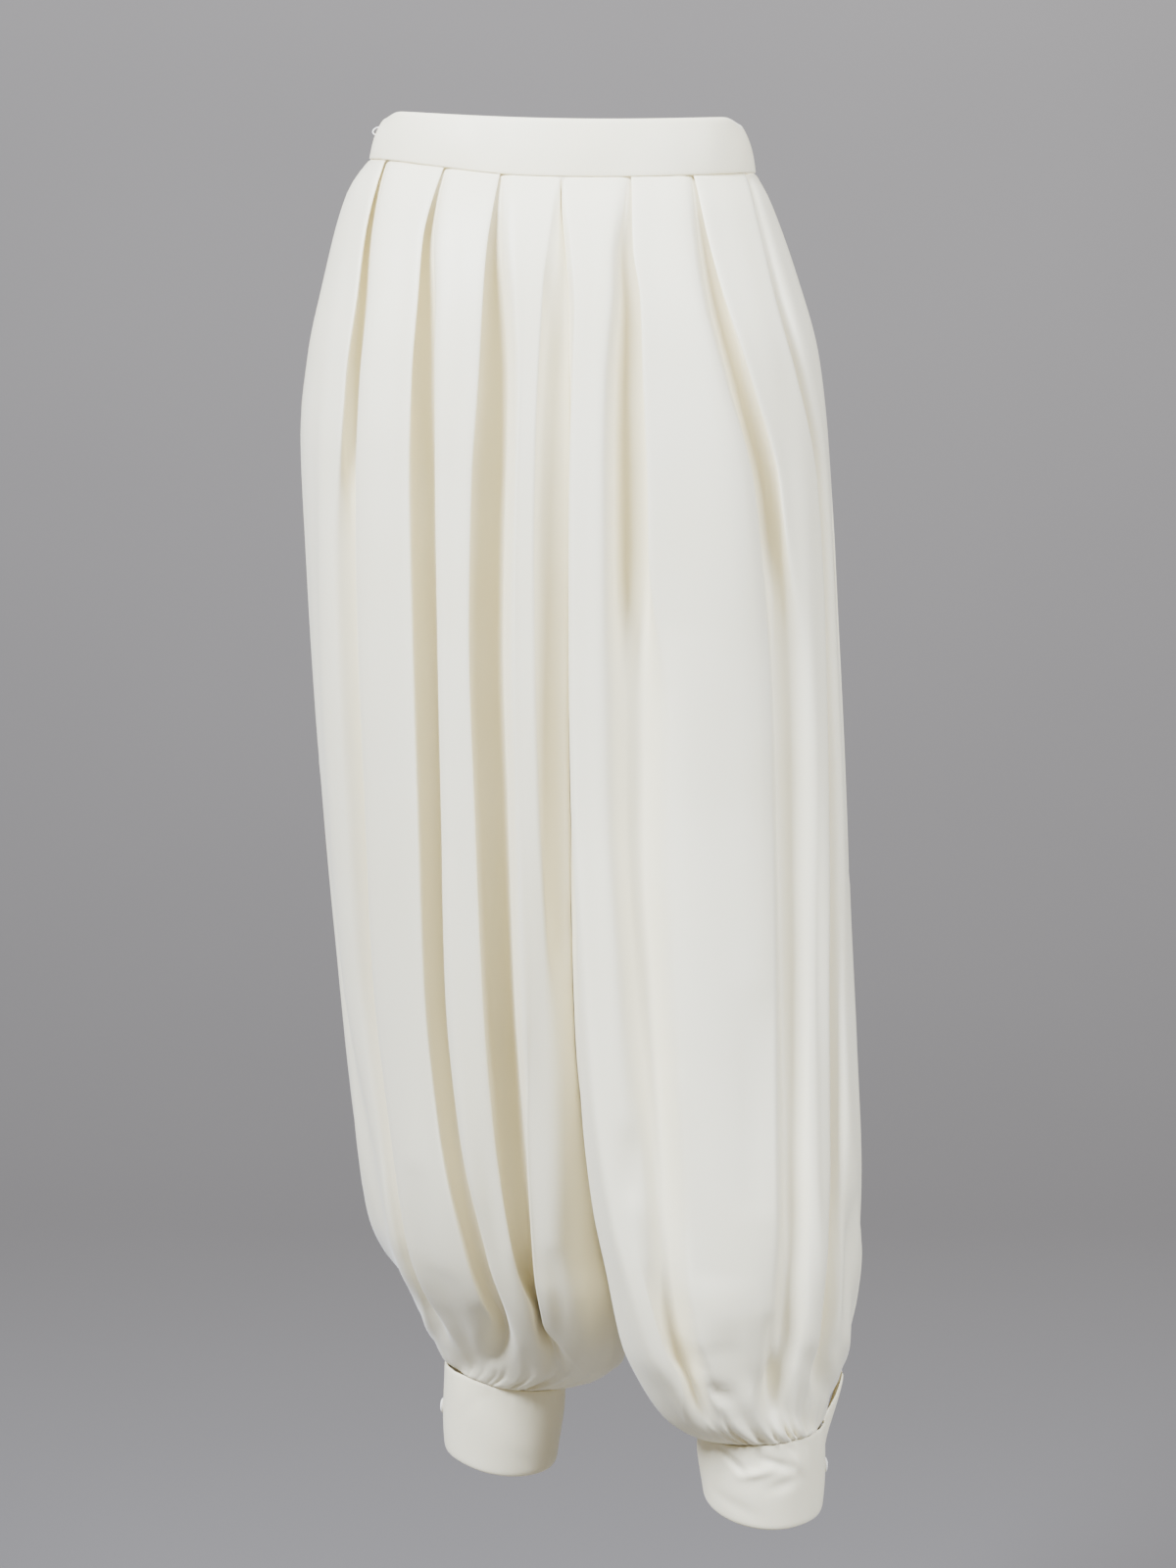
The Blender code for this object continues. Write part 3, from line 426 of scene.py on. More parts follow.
# The valley between the two legs' innermost pleats, deeper than on the solids and hollow on the right leg
centreValley = {
    "deeper": 5.0, "hollow": {"right": 0.8, "left": -1.4}, "sway": 1.7, "swayLength": 46.0,
    "shift": 5.4,  # towards the left leg, under that leg's innermost edge
}


def centreShift(face, z):
    front = ramp(z, -35, -120) * (1 - ramp(z, -430, -620))
    return centreValley["shift"] * front * (1.0 if face == "front" else ramp(z, -262, -325))


def baseCurve(leg, face, z):
    # outline without pleats, from the rise or inseam round to the side seam
    reach = tableAt(legColumns, legRows[leg], z)
    shape = tableAt(faceColumns, faceRows[f"{face}_{leg}"], z)
    sign = faces[face]
    shift = centreShift(face, z)
    reach["inner"] += sides[leg] * shift
    if face == "front":
        shape["cornerWidth"] += shift if leg == "right" else -0.62 * shift
    valley = ramp(z, -60, -150) * (1 - ramp(z, -480, -620)) if face == "front" else 0.0
    cornerDepth = shape["cornerDepth"] + centreValley["deeper"] * valley
    cornerDepth = min(cornerDepth, max(abs(shape["face"] - shape["seam"]) - 0.3, 0.05))
    cornerX = reach["inner"] + shape["cornerWidth"]
    cornerY = shape["face"] - sign * cornerDepth
    startY = sign * min(sign * shape["seam"] + seamGap / 2, sign * cornerY - 0.05)
    inner = np.stack([np.full(14, reach["inner"]), np.linspace(startY, cornerY, 14)], axis=1)
    hollow = shape["cornerPower"] - centreValley["hollow"][leg] * valley
    bend = quarterRound(cornerDepth, shape["cornerWidth"], max(hollow, 0.6), 16)
    corner = np.stack([cornerX - bend[:, 1], cornerY + sign * bend[:, 0]], axis=1)
    sideY = reach["sideY"] + sign * seamGap / 2
    power = 2.0 + 0.35 * ramp(z, -22, -150) * (1 - ramp(z, -700, cuffSeamZ[leg]))
    panel = quarterRound(reach["outer"] - cornerX, abs(shape["face"] - sideY), power, 90)
    outer = np.stack([cornerX + panel[:, 0], sideY + sign * panel[:, 1]], axis=1)
    points = np.concatenate([inner, corner[1:], outer[1:]])
    points = points[np.concatenate([[True], np.hypot(*np.diff(points, axis=0).T) > 1e-3])]
    length = np.concatenate([[0], np.cumsum(np.hypot(*np.diff(points, axis=0).T))])
    return points, length, cornerX, reach


def onCurve(points, length, at, sign, step=1.5):
    xy, ahead, behind = (
        np.stack([np.interp(at + d, length, points[:, k]) for k in (0, 1)], axis=1)
        for d in (0, step, -step))
    tangent = ahead - behind
    tangent /= np.maximum(np.hypot(*tangent.T), 1e-9)[:, None]
    return xy, sign * np.stack([tangent[:, 1], -tangent[:, 0]], axis=1)


layerTurn = 0.8  # half the spacing of two pressed layers
pleatDeeper = 1.75  # the thin cloth's pleats fall deeper than the solids' thick walls can


def pleatShape(facing, depth, valley, soft, crisp, opening):
    under = opening["under"]
    flat = 4 * layerTurn
    folded = (
        (-9.0, 0.0), (-3.6, 0.5 * flat), (-0.6, flat), (under, flat), (under + layerTurn, flat - layerTurn),
        (under, 2 * layerTurn), (0.0, 2 * layerTurn), (-layerTurn, 0.0), (under + 2.5, 0.0),
    )
    sharp = (
        (-valley - soft, 0.0), (-valley - 0.5 * soft, 0.42 * depth), (-valley, 0.92 * depth),
        (-0.45 * valley + under, depth), (1.0 - 0.1 * valley + under, 0.9 * depth),
        (1.6 + 0.6 * under, 0.5 * depth), (-0.9, 0.1 * depth + 1.1), (-1.9, 0.3), (9.0, 0.0),
    )
    wide = valley + soft
    gentle = [(-wide + 1.5 * wide * k / 8, 0.8 * depth * math.sin(math.pi * k / 8) ** 2) for k in range(9)]
    points = []
    for fold, edge, low in zip(folded, sharp, gentle):
        along = low[0] + (edge[0] - low[0]) * crisp
        inward = low[1] + (edge[1] - low[1]) * crisp
        points.append((
            fold[0] + (along - fold[0]) * opening["spread"],
            fold[1] + (inward - fold[1]) * opening["open"]))
    if facing < 0:
        points = [(-along, inward) for along, inward in reversed(points)]
    return points


def sectionPoints(leg, face, z):
    # distance along the outline and depth inward of a section's main points, seam to side seam
    points, length, cornerX, reach = baseCurve(leg, face, z)
    opening = tableAt(openingColumns, openingRows, z)
    start = int(np.argmax(points[:, 0] >= cornerX - 1e-6))
    outward, along = points[start:, 0], length[start:]
    ats, depths = [0.0], [0.0]
    for number, (facing, depth, valley, soft, softBelow, edges) in enumerate(pleatRows[f"{face}_{leg}"]):
        edgeX = smoothValue(pleatHeights, edges, z)
        centre = float(np.interp(max(edgeX, cornerX), outward, along))
        crisp = 1 - ramp(z, softBelow + 50, softBelow - 50)
        shape = pleatShape(facing, depth * pleatDeeper, valley, soft, crisp, opening)
        if number == 0:
            shape = [(centre * (k + 1) / 8 - centre, 0.0) for k in range(8)] + [shape[8]]
        low = ats[-1] + 2.0
        ats += [max(centre + a, low + k) if number else centre + a for k, (a, _) in enumerate(shape)]
        depths += [w for _, w in shape]
    last = ats[-1]
    for k in range(1, 4):
        ats.append(last + (length[-1] - last) * k / 3)
        depths.append(0.0)
    return np.array(ats), np.array(depths), points, length, cornerX, reach


def smoothLine(line, parts):
    # centripetal spline through the points, each stretch in equal parts
    knots = np.concatenate([[0], np.cumsum(np.maximum(np.hypot(*np.diff(line, axis=0).T), 1e-3) ** 0.5)])
    step = np.diff(knots)[:, None]
    slope = np.diff(line, axis=0) / step
    tangent = np.empty_like(line)
    tangent[0], tangent[-1] = slope[0], slope[-1]
    both = (line[2:] - line[:-2]) / (step[1:] + step[:-1])
    tangent[1:-1] = slope[:-1] - both + slope[1:]
    t = (np.arange(parts) / parts)[None, :, None]
    a, b = line[:-1, None], line[1:, None]
    m, n = (tangent[:-1] * step)[:, None], (tangent[1:] * step)[:, None]
    out = (
        a * (1 + 2 * t) * (1 - t) ** 2 + m * t * (1 - t) ** 2
        + b * t * t * (3 - 2 * t) - n * t * t * (1 - t))
    return np.vstack([out.reshape(-1, line.shape[1]), line[-1:]])


legPanel = {
    "stretchParts": 5, "wall": 0.5, "rollDepth": 1.1, "rollReach": 1.4,
    "gatherStart": 0.7, "puff": 1.6, "tuckedIn": 2.7, "cuffStand": 2.6,
    # small tucks at the cuff: how many, where along the seam they crowd, and how widely
    "tucks": {
        "front_right": (17, 0.37, 0.18), "front_left": (19, 0.57, 0.25),
        "back_right": (18, 0.5, 0.35), "back_left": (18, 0.55, 0.35),
    },
}

# Creases by panel: how the place across is measured (outward from the centre, or back from the side seam),
# the (height, place) points it runs through, its half width, and its depth (below 0 a ridge)
creases = {
    "front_right": (
        ("side", ((-430, 34), (-560, 44), (-690, 58), (-760, 60)), 9, 5.0),
        ("side", ((-180, 20), (-300, 26), (-420, 24)), 10, 2.2),
        ("out", ((-120, 29), (-230, 37), (-340, 38), (-430, 36)), 8, -2.0),
        ("out", ((-590, 30), (-690, 24), (-770, 12)), 9, 4.0),
        ("out", ((-470, 76), (-600, 72), (-720, 62)), 8, -2.5),
        ("out", ((-796, 57), (-826, 50), (-852, 50)), 7, 7.5),
        ("out", ((-750, 30), (-785, 22), (-826, 10), (-852, 12)), 7, 5.0),
        ("out", ((-770, 84), (-820, 72), (-860, 62)), 6, 4.5),
        ("out", ((-740, -14), (-800, -18), (-850, -4)), 7, 4.0),
        ("out", ((-690, 100), (-750, 96), (-800, 84)), 8, 3.5),
    ),
    "front_left": (
        ("out", ((-150, 38), (-267, 37), (-455, 40), (-567, 46), (-698, 57)), 8, 6.0),
        ("out", ((-320, 76), (-460, 84), (-600, 92)), 12, -2.5),
        ("out", ((-553, 126), (-620, 127), (-702, 128)), 8, 4.5),
        ("out", ((-600, 72), (-700, 72), (-760, 80)), 9, -3.5),
        ("out", ((-640, 44), (-690, 48)), 8, 3.0),
        ("out", ((-730, 58), (-790, 74), (-845, 100)), 6, 5.0),
        ("out", ((-770, 112), (-815, 116), (-850, 122)), 9, 3.0),
        ("out", ((-770, 140), (-812, 143), (-858, 145)), 5, 8.0),
        ("out", ((-812, 103), (-828, 106)), 6, 4.0),
        ("out", ((-785, 86), (-808, 92)), 7, 4.0),
        ("out", ((-740, 100), (-790, 108)), 14, -3.0),
        ("side", ((-700, 30), (-760, 36), (-810, 40)), 9, 4.0),
        ("side", ((-240, 16), (-380, 22), (-500, 20)), 10, 2.2),
    ),
    "back_right": (
        ("out", ((-170, 34), (-320, 38), (-470, 40), (-600, 36)), 10, 3.5),
        ("out", ((-260, 84), (-420, 82), (-560, 76)), 11, -3.0),
        ("out", ((-520, 122), (-640, 114), (-740, 100)), 9, 4.0),
        ("out", ((-640, 4), (-740, -8), (-810, -12)), 9, 4.5),
        ("side", ((-300, 28), (-450, 36), (-600, 44)), 10, 3.0),
        ("out", ((-770, 60), (-830, 54), (-860, 48)), 7, 6.0),
        ("out", ((-760, 28), (-820, 24), (-858, 22)), 8, 5.0),
        ("side", ((-730, 30), (-790, 34), (-840, 30)), 8, 4.5),
    ),
    "back_left": (
        ("out", ((-190, 36), (-340, 42), (-500, 52), (-640, 70)), 10, 3.5),
        ("out", ((-280, 86), (-430, 92), (-560, 104)), 11, -3.0),
        ("out", ((-470, 136), (-600, 146), (-720, 150)), 9, 4.0),
        ("out", ((-560, 30), (-660, 44), (-760, 66)), 9, 4.5),
        ("side", ((-260, 30), (-420, 40), (-560, 44)), 10, 3.0),
        ("out", ((-760, 120), (-820, 124), (-855, 128)), 7, 6.0),
        ("out", ((-780, 90), (-830, 102), (-858, 112)), 7, 5.0),
        ("side", ((-740, 34), (-800, 36), (-845, 30)), 8, 4.5),
    ),
}

# Long shallow unevenness of hanging cloth: waves per metre across and down, size in mm and phase
ripples = (
    (11.0, 0.5, 0.7, 0.4), (17.0, 0.9, 0.45, 2.2), (27.0, 0.8, 0.3, 4.0), (7.0, 1.4, 0.6, 1.1),
    (39.0, 1.5, 0.2, 5.2),
)


def panelHeights(leg):
    seam = cuffSeamZ[leg]
    top = np.array([-22, -22.3, -22.9, -23.9, -25.5, -28])
    upper = np.arange(-32, -700, -7.0)
    lower = np.linspace(-703, seam + 4, 34)
    edge = seam + np.array([2.6, 1.5, 0.7, 0.0, -0.8, -2.2])  # over the cuff's edge and down inside it
    return np.concatenate([top, upper, lower, edge])


def tuckField(at, total, rise, count, crowd, spread, seed):
    # small uneven tucks that start at the cuff seam and fade as they widen upward
    draw = np.random.RandomState(seed)
    field = np.zeros_like(at)
    for k in range(count):
        place = (k + 0.5 + 0.8 * (draw.rand() - 0.5)) / count
        near = math.exp(-(((place - crowd) / spread) ** 2))
        depth = (0.8 + 9.0 * near) * (0.4 + 0.8 * draw.rand())
        reach = 14 + 34 * draw.rand() * (0.4 + near)
        lean = 0.25 * (draw.rand() - 0.5)
        width = (1.0 + 1.0 * draw.rand()) + 0.1 * np.maximum(rise, 0)
        across = (at - place * total + lean * rise) / width
        field += depth * np.exp(-across ** 2 - np.maximum(rise, 0) / reach)
    return field


def unevenWave(position, seed):
    # a smooth irregular wave of about unit size
    waves = ((1.0, 1.6), (2.3, 2.4), (4.1, 4.0))
    return sum(math.sin(position * rate + seed * 1.7 + rate) / part for rate, part in waves)


def creaseField(name, fromCorner, fromSide, heights, curves):
    field = np.zeros_like(fromCorner)
    tall = np.repeat(heights[:, None], fromCorner.shape[1], axis=1)
    for measure, path, width, depth in creases[name]:
        at = fromSide if measure == "side" else fromCorner
        spots = []
        for z, place in path:
            outward, along = curves[int(np.argmin(abs(heights - z)))]
            spots.append((place if measure == "side" else float(np.interp(place, outward, along)), z))
        spots = smoothLine(np.array(spots, float), 5)
        line = np.concatenate([[0], np.cumsum(np.hypot(*np.diff(spots, axis=0).T))])
        nearest = np.full(at.shape, 1e9)
        share = np.zeros(at.shape)
        for k in range(len(spots) - 1):
            a, b = spots[k], spots[k + 1]
            run = b - a
            t = np.clip(((at - a[0]) * run[0] + (tall - a[1]) * run[1]) / (run @ run), 0, 1)
            off = np.hypot(at - a[0] - t * run[0], tall - a[1] - t * run[1])
            closer = off < nearest
            nearest[closer] = off[closer]
            share[closer] = ((line[k] + t * (line[k + 1] - line[k])) / line[-1])[closer]
        taper = np.sin(math.pi * share) ** 0.6
        field += depth * taper * np.exp(-((nearest / width) ** 2))
    return field


def rimOffset(x, y, z):
    front = np.clip(-y / waist["halfDepth"], 0.0, 1.2)
    return (waist["slope"] * x - waist["sag"] * front * front) * ramp(z, waist["fadeZ"], -24)


def seamLift(x):
    # the waist seam climbs towards the right side
    return waist["seamLift"] * ramp(-x, 20, 130)


def panelSurface(leg, face, settings):
    name = f"{face}_{leg}"
    heights = panelHeights(leg)
    seam = cuffSeamZ[leg]
    ats, depths, spots, inwards, curves, corners, reaches, totals = [], [], [], [], [], [], [], []
    for z in heights:
        at, depth, points, length, cornerX, reach = sectionPoints(leg, face, z)
        share = max(0.0, (z + 640) / (seam + 640) - settings["gatherStart"]) / (1 - settings["gatherStart"])
        if share > 0:
            ease = ramp(share, 0.0, 1.0)
            at = at + (np.linspace(0, length[-1], len(at)) - at) * ease
            depth = depth * (1 - ease)
        fine = smoothLine(np.column_stack([at, depth]), settings["stretchParts"])
        edges = np.array([0.5, 1.2, 2.2])
        first = np.column_stack([edges, np.interp(edges, fine[:6, 0], fine[:6, 1])])
        last = np.column_stack([length[-1] - edges[::-1], np.zeros(3)])
        fine = np.vstack([fine[:1], first, fine[2:-1], last, fine[-1:]])
        fine[:, 0] = np.clip(fine[:, 0], 0, length[-1])
        spot, inward = onCurve(points, length, fine[:, 0], faces[face])
        ats.append(fine[:, 0])
        depths.append(fine[:, 1])
        spots.append(spot)
        inwards.append(inward)
        start = int(np.argmax(points[:, 0] >= cornerX - 1e-6))
        corners.append(length[start])
        curves.append((points[start:, 0], length[start:] - length[start]))
        reaches.append(reach)
        totals.append(length[-1])
    ats, depths, spots, inwards = (np.array(v) for v in (ats, depths, spots, inwards))
    totals = np.array(totals)
    tall = np.repeat(heights[:, None], ats.shape[1], axis=1)
    fromCorner = ats - np.array(corners)[:, None]
    fromSide = totals[:, None] - ats
    depths += creaseField(name, fromCorner, fromSide, heights, curves)
    seed = 11 * (leg == "left") + 23 * (face == "back")
    loose = ramp(tall, -60, -260)
    for across, down, size, phase in ripples:
        wave = np.sin(2 * math.pi * (across * fromCorner + down * tall) * mm + phase + seed)
        depths += size * wave * loose * (1 + 0.8 * ramp(tall, -560, -760))
    count, crowd, spread = settings["tucks"][name]
    tucks = tuckField(ats, totals[:, None], tall - seam, count, crowd, spread, seed + 3)
    depths += tucks * (0.12 + 0.88 * ramp(tall, seam, seam + 5))
    depths -= settings["puff"] * ramp(tall, seam + 60, seam + 12) * ramp(tall, seam, seam + 7)
    edge = np.minimum(ats, totals[:, None] - ats)
    depths *= np.where(tall < -500, ramp(edge, 0.0, 7.0), 1.0)
    turn = 180 * ats / totals[:, None] - 180 if face == "front" else 180 - 180 * ats / totals[:, None]
    stand = ramp(turn, -57, -12) * (1 - ramp(turn, 5, 28))
    depths -= settings["cuffStand"] * stand * ramp(tall, seam + 28, seam + 3)
    depths += (settings["tuckedIn"] + settings["cuffStand"] * stand) * ramp(tall, seam + 0.6, seam - 0.7)
    edge = np.minimum(edge, np.minimum(-22 - tall, tall - seam))
    depths += settings["rollDepth"] * np.exp(-((edge / settings["rollReach"]) ** 2))
    xy = spots + inwards * depths[:, :, None]
    sway = centreValley["sway"] * ramp(tall, -60, -130) * (1 - ramp(tall, -600, -700))
    sway = sway * np.exp(-((xy[:, :, 0] / 18) ** 2))
    sway = sway * np.sin(2 * math.pi * xy[:, :, 1] / centreValley["swayLength"])
    xy[:, 0, 0] = spots[:, 0, 0]
    xy[:, -1, 1] = spots[:, -1, 1]
    centre = np.array([(r["outer"] + r["inner"]) / 2 for r in reaches])[:, None]
    rise = np.array([r["rise"] for r in reaches])[:, None]
    level = tall - 2.75 * np.clip((tall + 36) / 14, 0, 1)
    z = level + rise * (xy[:, :, 0] - centre)
    x = xy[:, :, 0] * sides[leg]
    z = z + rimOffset(x, xy[:, :, 1], tall) + seamLift(x) * ramp(tall, waist["fadeZ"], -24)
    x = x + sway
    return np.stack([x, xy[:, :, 1], z], axis=2)


def gridFaces(rows, columns, flip):
    quads = []
    for r in range(rows - 1):
        for c in range(columns - 1):
            a = r * columns + c
            quad = (a, a + columns, a + columns + 1, a + 1)
            quads.append(tuple(reversed(quad)) if flip else quad)
    return quads


def thicken(piece, wall):
    solid = piece.modifiers.new("wall", "SOLIDIFY")
    solid.thickness = wall * mm
    solid.offset = -1.0
    return piece


def sheetArea(piece):
    return sum(p.area for p in piece.data.polygons)


def makePanel(leg, face, settings):
    name = f"{face}_{leg}"
    surface = panelSurface(leg, face, settings)
    rows, columns = surface.shape[:2]
    flip = sides[leg] * faces[face] > 0
    piece = addMesh("cloth_" + name, surface.reshape(-1, 3), gridFaces(rows, columns, flip), satin)
    thicken(piece, settings["wall"])
    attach(piece, "trousers")
    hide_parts(name)
    print(name, rows, "x", columns, "area", round(sheetArea(piece), 4))
    return piece


for leg in sides:
    for face in faces:
        makePanel(leg, face, legPanel)
print("leg panels made")


bandRows = {
    "columns": 130, "wobble": 0.35,
    # share of the height and inset from the outer face, up the outside, over the fold and down the inside
    "section": (
        (-0.004, 1.1), (0.0, 0.55), (0.012, 0.15), (0.04, 0.0), (0.15, 0.0), (0.3, 0.0), (0.45, 0.0),
        (0.6, 0.0), (0.75, 0.0), (0.88, 0.0), (0.95, 0.12), (0.985, 0.45), (1.0, 1.0), (0.985, 1.6),
        (0.95, 1.9), (0.88, 2.0), (0.6, 2.0), (0.3, 2.0), (0.04, 2.0), (0.0, 1.6),
    ),
}


def bandPoint(angle, share, inset):
    width = waist["halfWidth"] + (waist["rimHalfWidth"] - waist["halfWidth"]) * share - inset
    depth = waist["halfDepth"] + (waist["rimHalfDepth"] - waist["halfDepth"]) * share - inset
    bulge = 1.5 * math.sin(math.pi * min(max(share, 0.0), 1.0))
    return (width + bulge) * math.sin(angle), (depth + bulge) * math.cos(angle)


def makeBand(name, face, start, end, columns):
    sign = faces[face]
    points = []
    for k in range(columns):
        angle = start + (end - start) * k / (columns - 1)
        edge = min(k, columns - 1 - k) * abs(end - start) / (columns - 1) * 110
        roll = 0.8 * math.exp(-((edge / 1.2) ** 2))
        soft = bandRows["wobble"] * (math.sin(9 * angle + 1.0) + 0.6 * math.sin(17 * angle + sign))
        for share, inset in bandRows["section"]:
            outside = 1.0 if inset < 1.0 else -1.0
            middle = math.sin(math.pi * max(share, 0))
            x, y = bandPoint(angle, share, inset + roll * outside - soft * middle)
            z = waist["topZ"] - waist["bandHeight"] * (1 - share)
            z += float(rimOffset(x, sign * y, 0.0) + seamLift(x) * (1 - share))
            z -= waist["rimDrop"] * float(ramp(abs(x), 103, 119)) ** 2 * max(share, 0.0) ** 3
            points.append((x, sign * y, z))
    ring = len(bandRows["section"])
    quads = []
    for k in range(columns - 1):
        for j in range(ring):
            n = (j + 1) % ring
            quad = (k * ring + j, (k + 1) * ring + j, (k + 1) * ring + n, k * ring + n)
            quads.append(quad if sign < 0 else tuple(reversed(quad)))
    first = tuple(range(ring))
    last = tuple(reversed(range((columns - 1) * ring, columns * ring)))
    quads += [first, last] if sign < 0 else [tuple(reversed(first)), tuple(reversed(last))]
    piece = addMesh("cloth_" + name, points, quads, satin)
    piece.data.set_sharp_from_angle(angle=math.radians(60))
    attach(piece, "trousers")
    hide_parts(name)
    return piece


halfGap = seamGap / 2
frontSpan = math.pi / 2 - (halfGap - waist["seamBack"]) / waist["halfDepth"]
backSpan = math.pi / 2 - (halfGap + waist["seamBack"]) / waist["halfDepth"]
middle = halfGap / waist["rimHalfWidth"]
makeBand("waistband_front", "front", -frontSpan, frontSpan, bandRows["columns"])
makeBand("waistband_back_right", "back", -backSpan, -middle, bandRows["columns"] // 2)
makeBand("waistband_back_left", "back", middle, backSpan, bandRows["columns"] // 2)
print("waistband made")


cuffShape = {
    "wall": 2.0, "radius": 42.0, "overlap": 30.0, "buttonAngle": 14.0, "columns": 220,
    "cut": (0.287, 0.058),  # metres, flat
    "reach": {"right": 0.8, "left": 22.0}, "rise": {"right": 0.5, "left": 25.0},
    # centre across, centre y, z, radius, slope across and slope back, at the seam and at the hem
    "right": ((41.0, 36.0, -871.7, 42.0, 0.18, 0.0), (44.5, 36.0, -931.5, 39.0, 0.13, 0.14)),
    "left": ((133.0, -100.0, -865.5, 42.0, 0.08, 0.0), (134.5, -100.0, -916.5, 39.0, -0.1, 0.22)),
    "edge": ((0.0, 1.2), (0.0, 0.6), (0.012, 0.15)),
    "hem": ((0.975, 0.2), (0.995, 0.6), (1.0, 1.0), (0.995, 1.4), (0.975, 1.8)),
    "inside": ((0.94, 2.0), (0.7, 2.0), (0.4, 2.0), (0.1, 2.0), (0.03, 1.9)),
    "rows": 30,
}
cuffSection = (
    cuffShape["edge"] + tuple((float(s), 0.0) for s in np.linspace(0.04, 0.945, cuffShape["rows"]))
    + cuffShape["hem"] + cuffShape["inside"])


def cuffPoint(leg, angle, share, inset):
    top, hem = cuffShape[leg]
    cx, cy, cz, radius, slopeX, slopeY = [a + (b - a) * share for a, b in zip(top, hem)]
    radius += 1.2 * math.sin(math.pi * share) - inset
    across, back = radius * math.cos(angle), radius * math.sin(angle)
    return [sides[leg] * (cx + across), cy + back, cz + slopeX * across + slopeY * back]


# Creases pressed into the cuffs: angle in degrees (the front is -90) and share of the height at both ends,
# half width in mm and depth
cuffCreases = {
    "right": ((-70, 0.1, -40, 0.5, 4, 0.4), (-130, 0.9, -100, 0.7, 5, 0.4)),
    "left": (
        (-132, 0.05, -108, 0.3, 2.6, 2.4),
        (-112, 0.36, -80, 0.26, 3.0, -2.2),
        (-92, 0.14, -62, 0.3, 2.6, 2.2),
        (-84, 0.5, -58, 0.44, 3.6, 1.4),
        (-64, 0.1, -50, 0.36, 2.6, -1.6),
        (-140, 0.7, -96, 0.82, 5.0, 0.9),
    ),
}


def cuffCrease(leg, angle, share):
    height = (cuffShape[leg][0][2] - cuffShape[leg][1][2]) * 0.98
    turn = (math.degrees(angle) + 180) % 360 - 180
    total = 0.0
    for start, high, end, low, width, depth in cuffCreases[leg]:
        arc = math.radians(1) * cuffShape["radius"]
        ax, ay, bx, by = start * arc, high * height, end * arc, low * height
        px, py = turn * arc - ax, share * height - ay
        run = (bx - ax) ** 2 + (by - ay) ** 2
        t = min(max((px * (bx - ax) + py * (by - ay)) / run, 0.0), 1.0)
        off = math.hypot(px - t * (bx - ax), py - t * (by - ay))
        total += depth * math.exp(-((off / width) ** 2)) * (0.35 + 0.65 * math.sin(math.pi * t))
    return total


def makeCuff(leg):
    columns = cuffShape["columns"]
    overlap = math.radians(cuffShape["overlap"])
    button = math.radians(cuffShape["buttonAngle"])
    points = []
    for k in range(columns):
        along = k / (columns - 1)
        angle = button + overlap / 2 - (2 * math.pi + overlap) * (1 - along)
        lift = (cuffShape["wall"] + 0.7) * float(ramp(along, 0.78, 0.9))
        pucker = 0.4 * unevenWave(angle * 9, 1 + (leg == "left"))
        edge = min(k, columns - 1 - k) / (columns - 1) * 2 * math.pi * cuffShape["radius"]
        roll = 0.9 * math.exp(-((edge / 1.4) ** 2))
        for share, inset in cuffSection:
            outside = 1.0 if inset < 1.0 else -1.0
            dent = pucker * math.exp(-((share / 0.16) ** 2))
            soft = 0.5 * math.sin(3 * angle + 4 * share + 1) * math.sin(math.pi * share)
            soft += cuffCrease(leg, angle, share)
            point = cuffPoint(leg, angle, share, inset + roll * outside - lift + dent + soft)
            free = float(ramp(along, 0.932, 1.0) * (1 - ramp(share, 0.0, 0.55)))
            point[0] += sides[leg] * cuffShape["reach"][leg] * free * math.cos(angle)
            point[1] += cuffShape["reach"][leg] * free * math.sin(angle)
            point[2] += cuffShape["rise"][leg] * free
            points.append(point)
    ring = len(cuffSection)
    quads = []
    for k in range(columns - 1):
        for j in range(ring):
            n = (j + 1) % ring
            quad = (k * ring + j, (k + 1) * ring + j, (k + 1) * ring + n, k * ring + n)
            quads.append(quad if sides[leg] > 0 else tuple(reversed(quad)))
    first = tuple(range(ring))
    last = tuple(reversed(range((columns - 1) * ring, columns * ring)))
    quads += [first, last] if sides[leg] > 0 else [tuple(reversed(first)), tuple(reversed(last))]
    piece = addMesh("cloth_cuff_" + leg, points, quads, satin)
    piece.data.set_sharp_from_angle(angle=math.radians(60))
    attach(piece, "trousers")
    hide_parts("cuff_" + leg)
    return piece


for leg in sides:
    makeCuff(leg)
print("cuffs made")


# Buttons, side loop and zip keep their solids' shapes
for name, material in (
    ("button_right", resin), ("button_left", resin), ("side_loop", thread), ("zip_slider", enamel),
    ("zip_pull", enamel),
):
    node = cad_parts[name]
    node.data.materials.clear()
    node.data.materials.append(material)
    node.data.shade_smooth()
    node.data.set_sharp_from_angle(angle=math.radians(35))


studio = {
    "floorZ": -1.5, "backY": 4.4, "bend": 1.8, "halfWidth": 6.0, "front": -4.5, "top": 4.5,
    "grey": "#93908d",
    "floorShade": 0.6,  # the floor is painted darker, so that little light comes back up
}


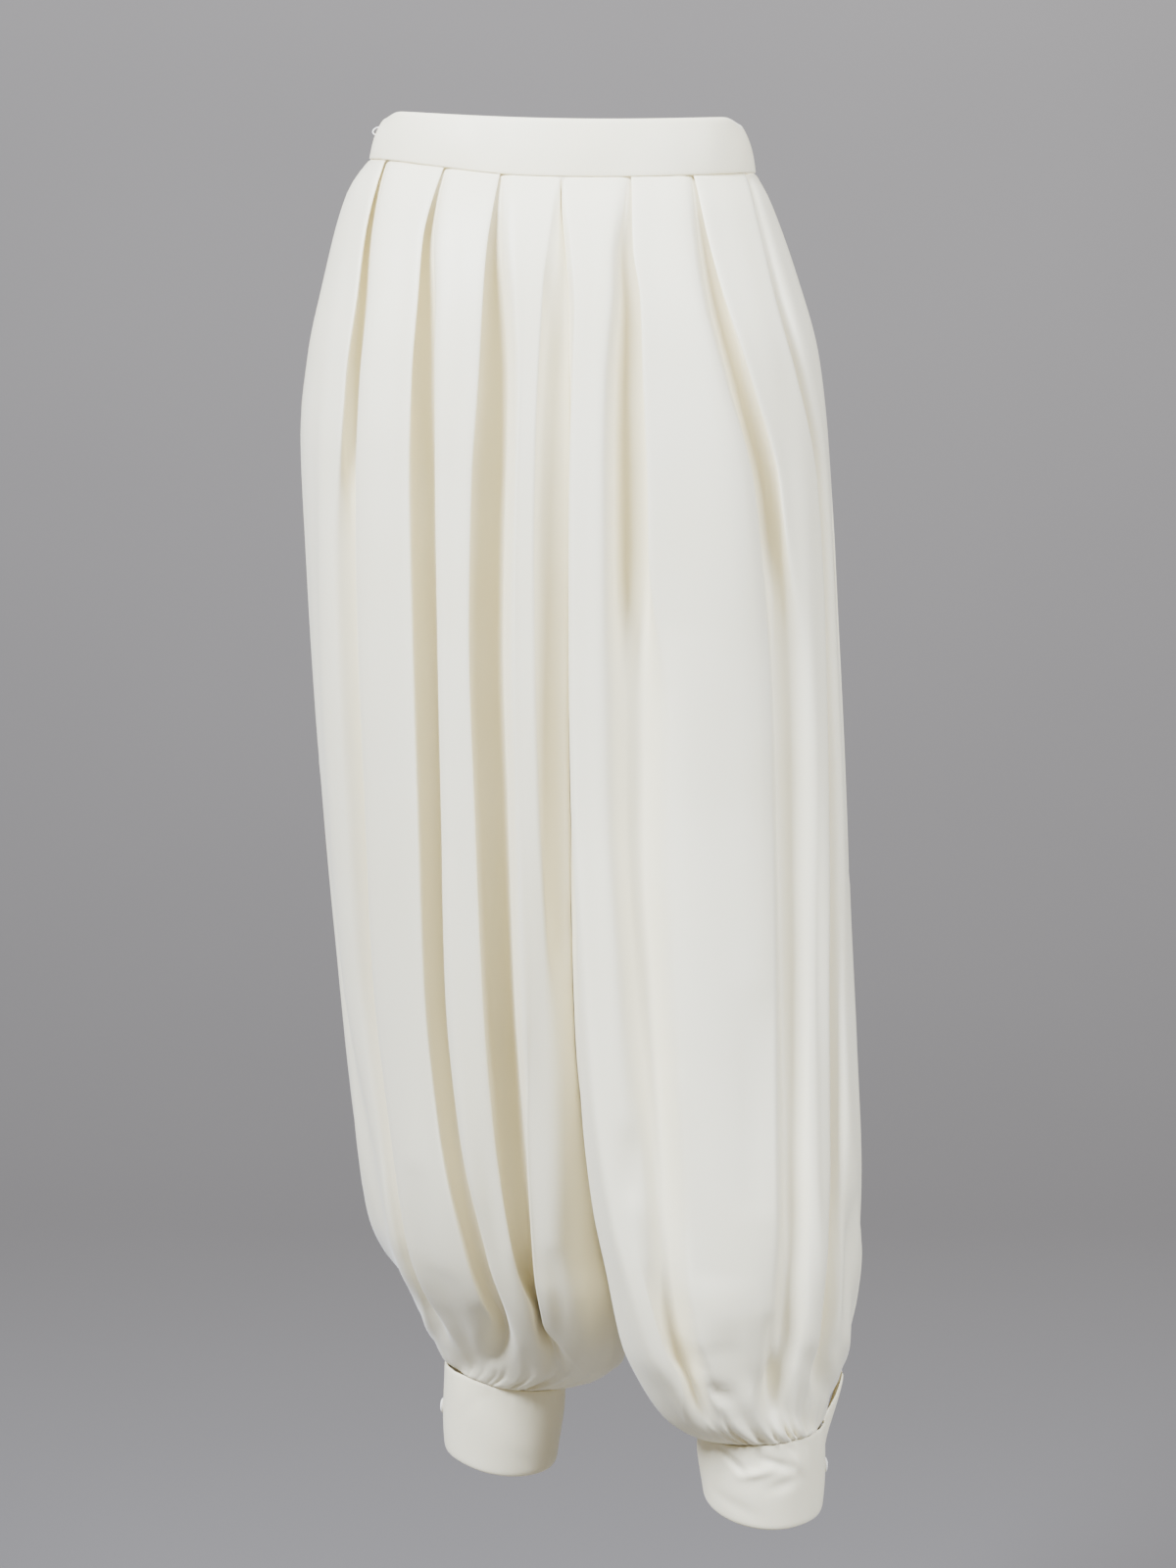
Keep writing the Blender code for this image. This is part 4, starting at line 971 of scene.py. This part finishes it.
def makeStudio(setup):
    # one sweep of matt painted board, floor and backdrop
    paint = bpy.data.materials.new("mattPaintedBoard")
    paint.use_nodes = True
    tree = paint.node_tree
    shader = tree.nodes["Principled BSDF"]
    where = addNode(tree, "ShaderNodeTexCoord").outputs["Object"]
    mottle = addNode(tree, "ShaderNodeTexNoise", {"Scale": 1.5, "Detail": 2.0}, {"Vector": where})
    darker = tuple(c * 0.94 for c in linear(setup["grey"])[:3]) + (1.0,)
    tone = addNode(
        tree, "ShaderNodeMix", {"data_type": "RGBA", 6: linear(setup["grey"]), 7: darker},
        {0: mottle.outputs["Fac"]})
    height = addNode(tree, "ShaderNodeSeparateXYZ", None, {0: where})
    share = addNode(
        tree, "ShaderNodeMapRange",
        {"From Min": setup["floorZ"], "From Max": 0.4, "To Min": setup["floorShade"], "To Max": 1.0},
        {"Value": height.outputs["Z"]})
    shade = addNode(
        tree, "ShaderNodeMix", {"data_type": "RGBA", "blend_type": "MULTIPLY", 0: 1.0},
        {6: tone.outputs[2], 7: share.outputs["Result"]})
    tree.links.new(shade.outputs[2], shader.inputs["Base Color"])
    shader.inputs["Roughness"].default_value = 0.9
    line = [(setup["front"], setup["floorZ"])]
    for k in range(25):
        turn = math.pi / 2 * k / 24
        line.append((
            setup["backY"] - setup["bend"] + setup["bend"] * math.sin(turn),
            setup["floorZ"] + setup["bend"] * (1 - math.cos(turn))))
    line.append((setup["backY"], setup["top"]))
    points = [(x / mm, y / mm, z / mm) for y, z in line for x in (-setup["halfWidth"], setup["halfWidth"])]
    quads = [(2 * k, 2 * k + 1, 2 * k + 3, 2 * k + 2) for k in range(len(line) - 1)]
    addMesh("studioSweep", points, quads, paint)


def addLight(name, place, aim, size, power, colour):
    data = bpy.data.lights.new(name, "AREA")
    data.shape = "RECTANGLE"
    data.size, data.size_y = size
    data.energy = power
    data.color = linear(colour)[:3]
    light = bpy.data.objects.new(name, data)
    light.location = place
    way = np.array(aim, float) - np.array(place, float)
    light.rotation_euler = (
        math.atan2(math.hypot(way[0], way[1]), -way[2]), 0, math.atan2(way[1], way[0]) - math.pi / 2)
    scene.collection.objects.link(light)


makeStudio(studio)
addLight("keySoftbox", (-1.5, -1.7, 1.8), (0, 0, 0), (0.9, 1.3), 430, "#e2ebff")
addLight("fillSoftbox", (1.9, -1.8, 1.3), (0, 0, 0), (1.3, 1.3), 200, "#e2ebff")
addLight("backdropWash", (0.6, 1.0, 3.0), (0.6, 4.4, 0.0), (3.5, 1.0), 130, "#fff8ee")

world = bpy.data.worlds.new("studioAir")
world.use_nodes = True
world.node_tree.nodes["Background"].inputs["Color"].default_value = linear("#f0e2cc")
world.node_tree.nodes["Background"].inputs["Strength"].default_value = 0.3
scene.world = world
print("studio made")
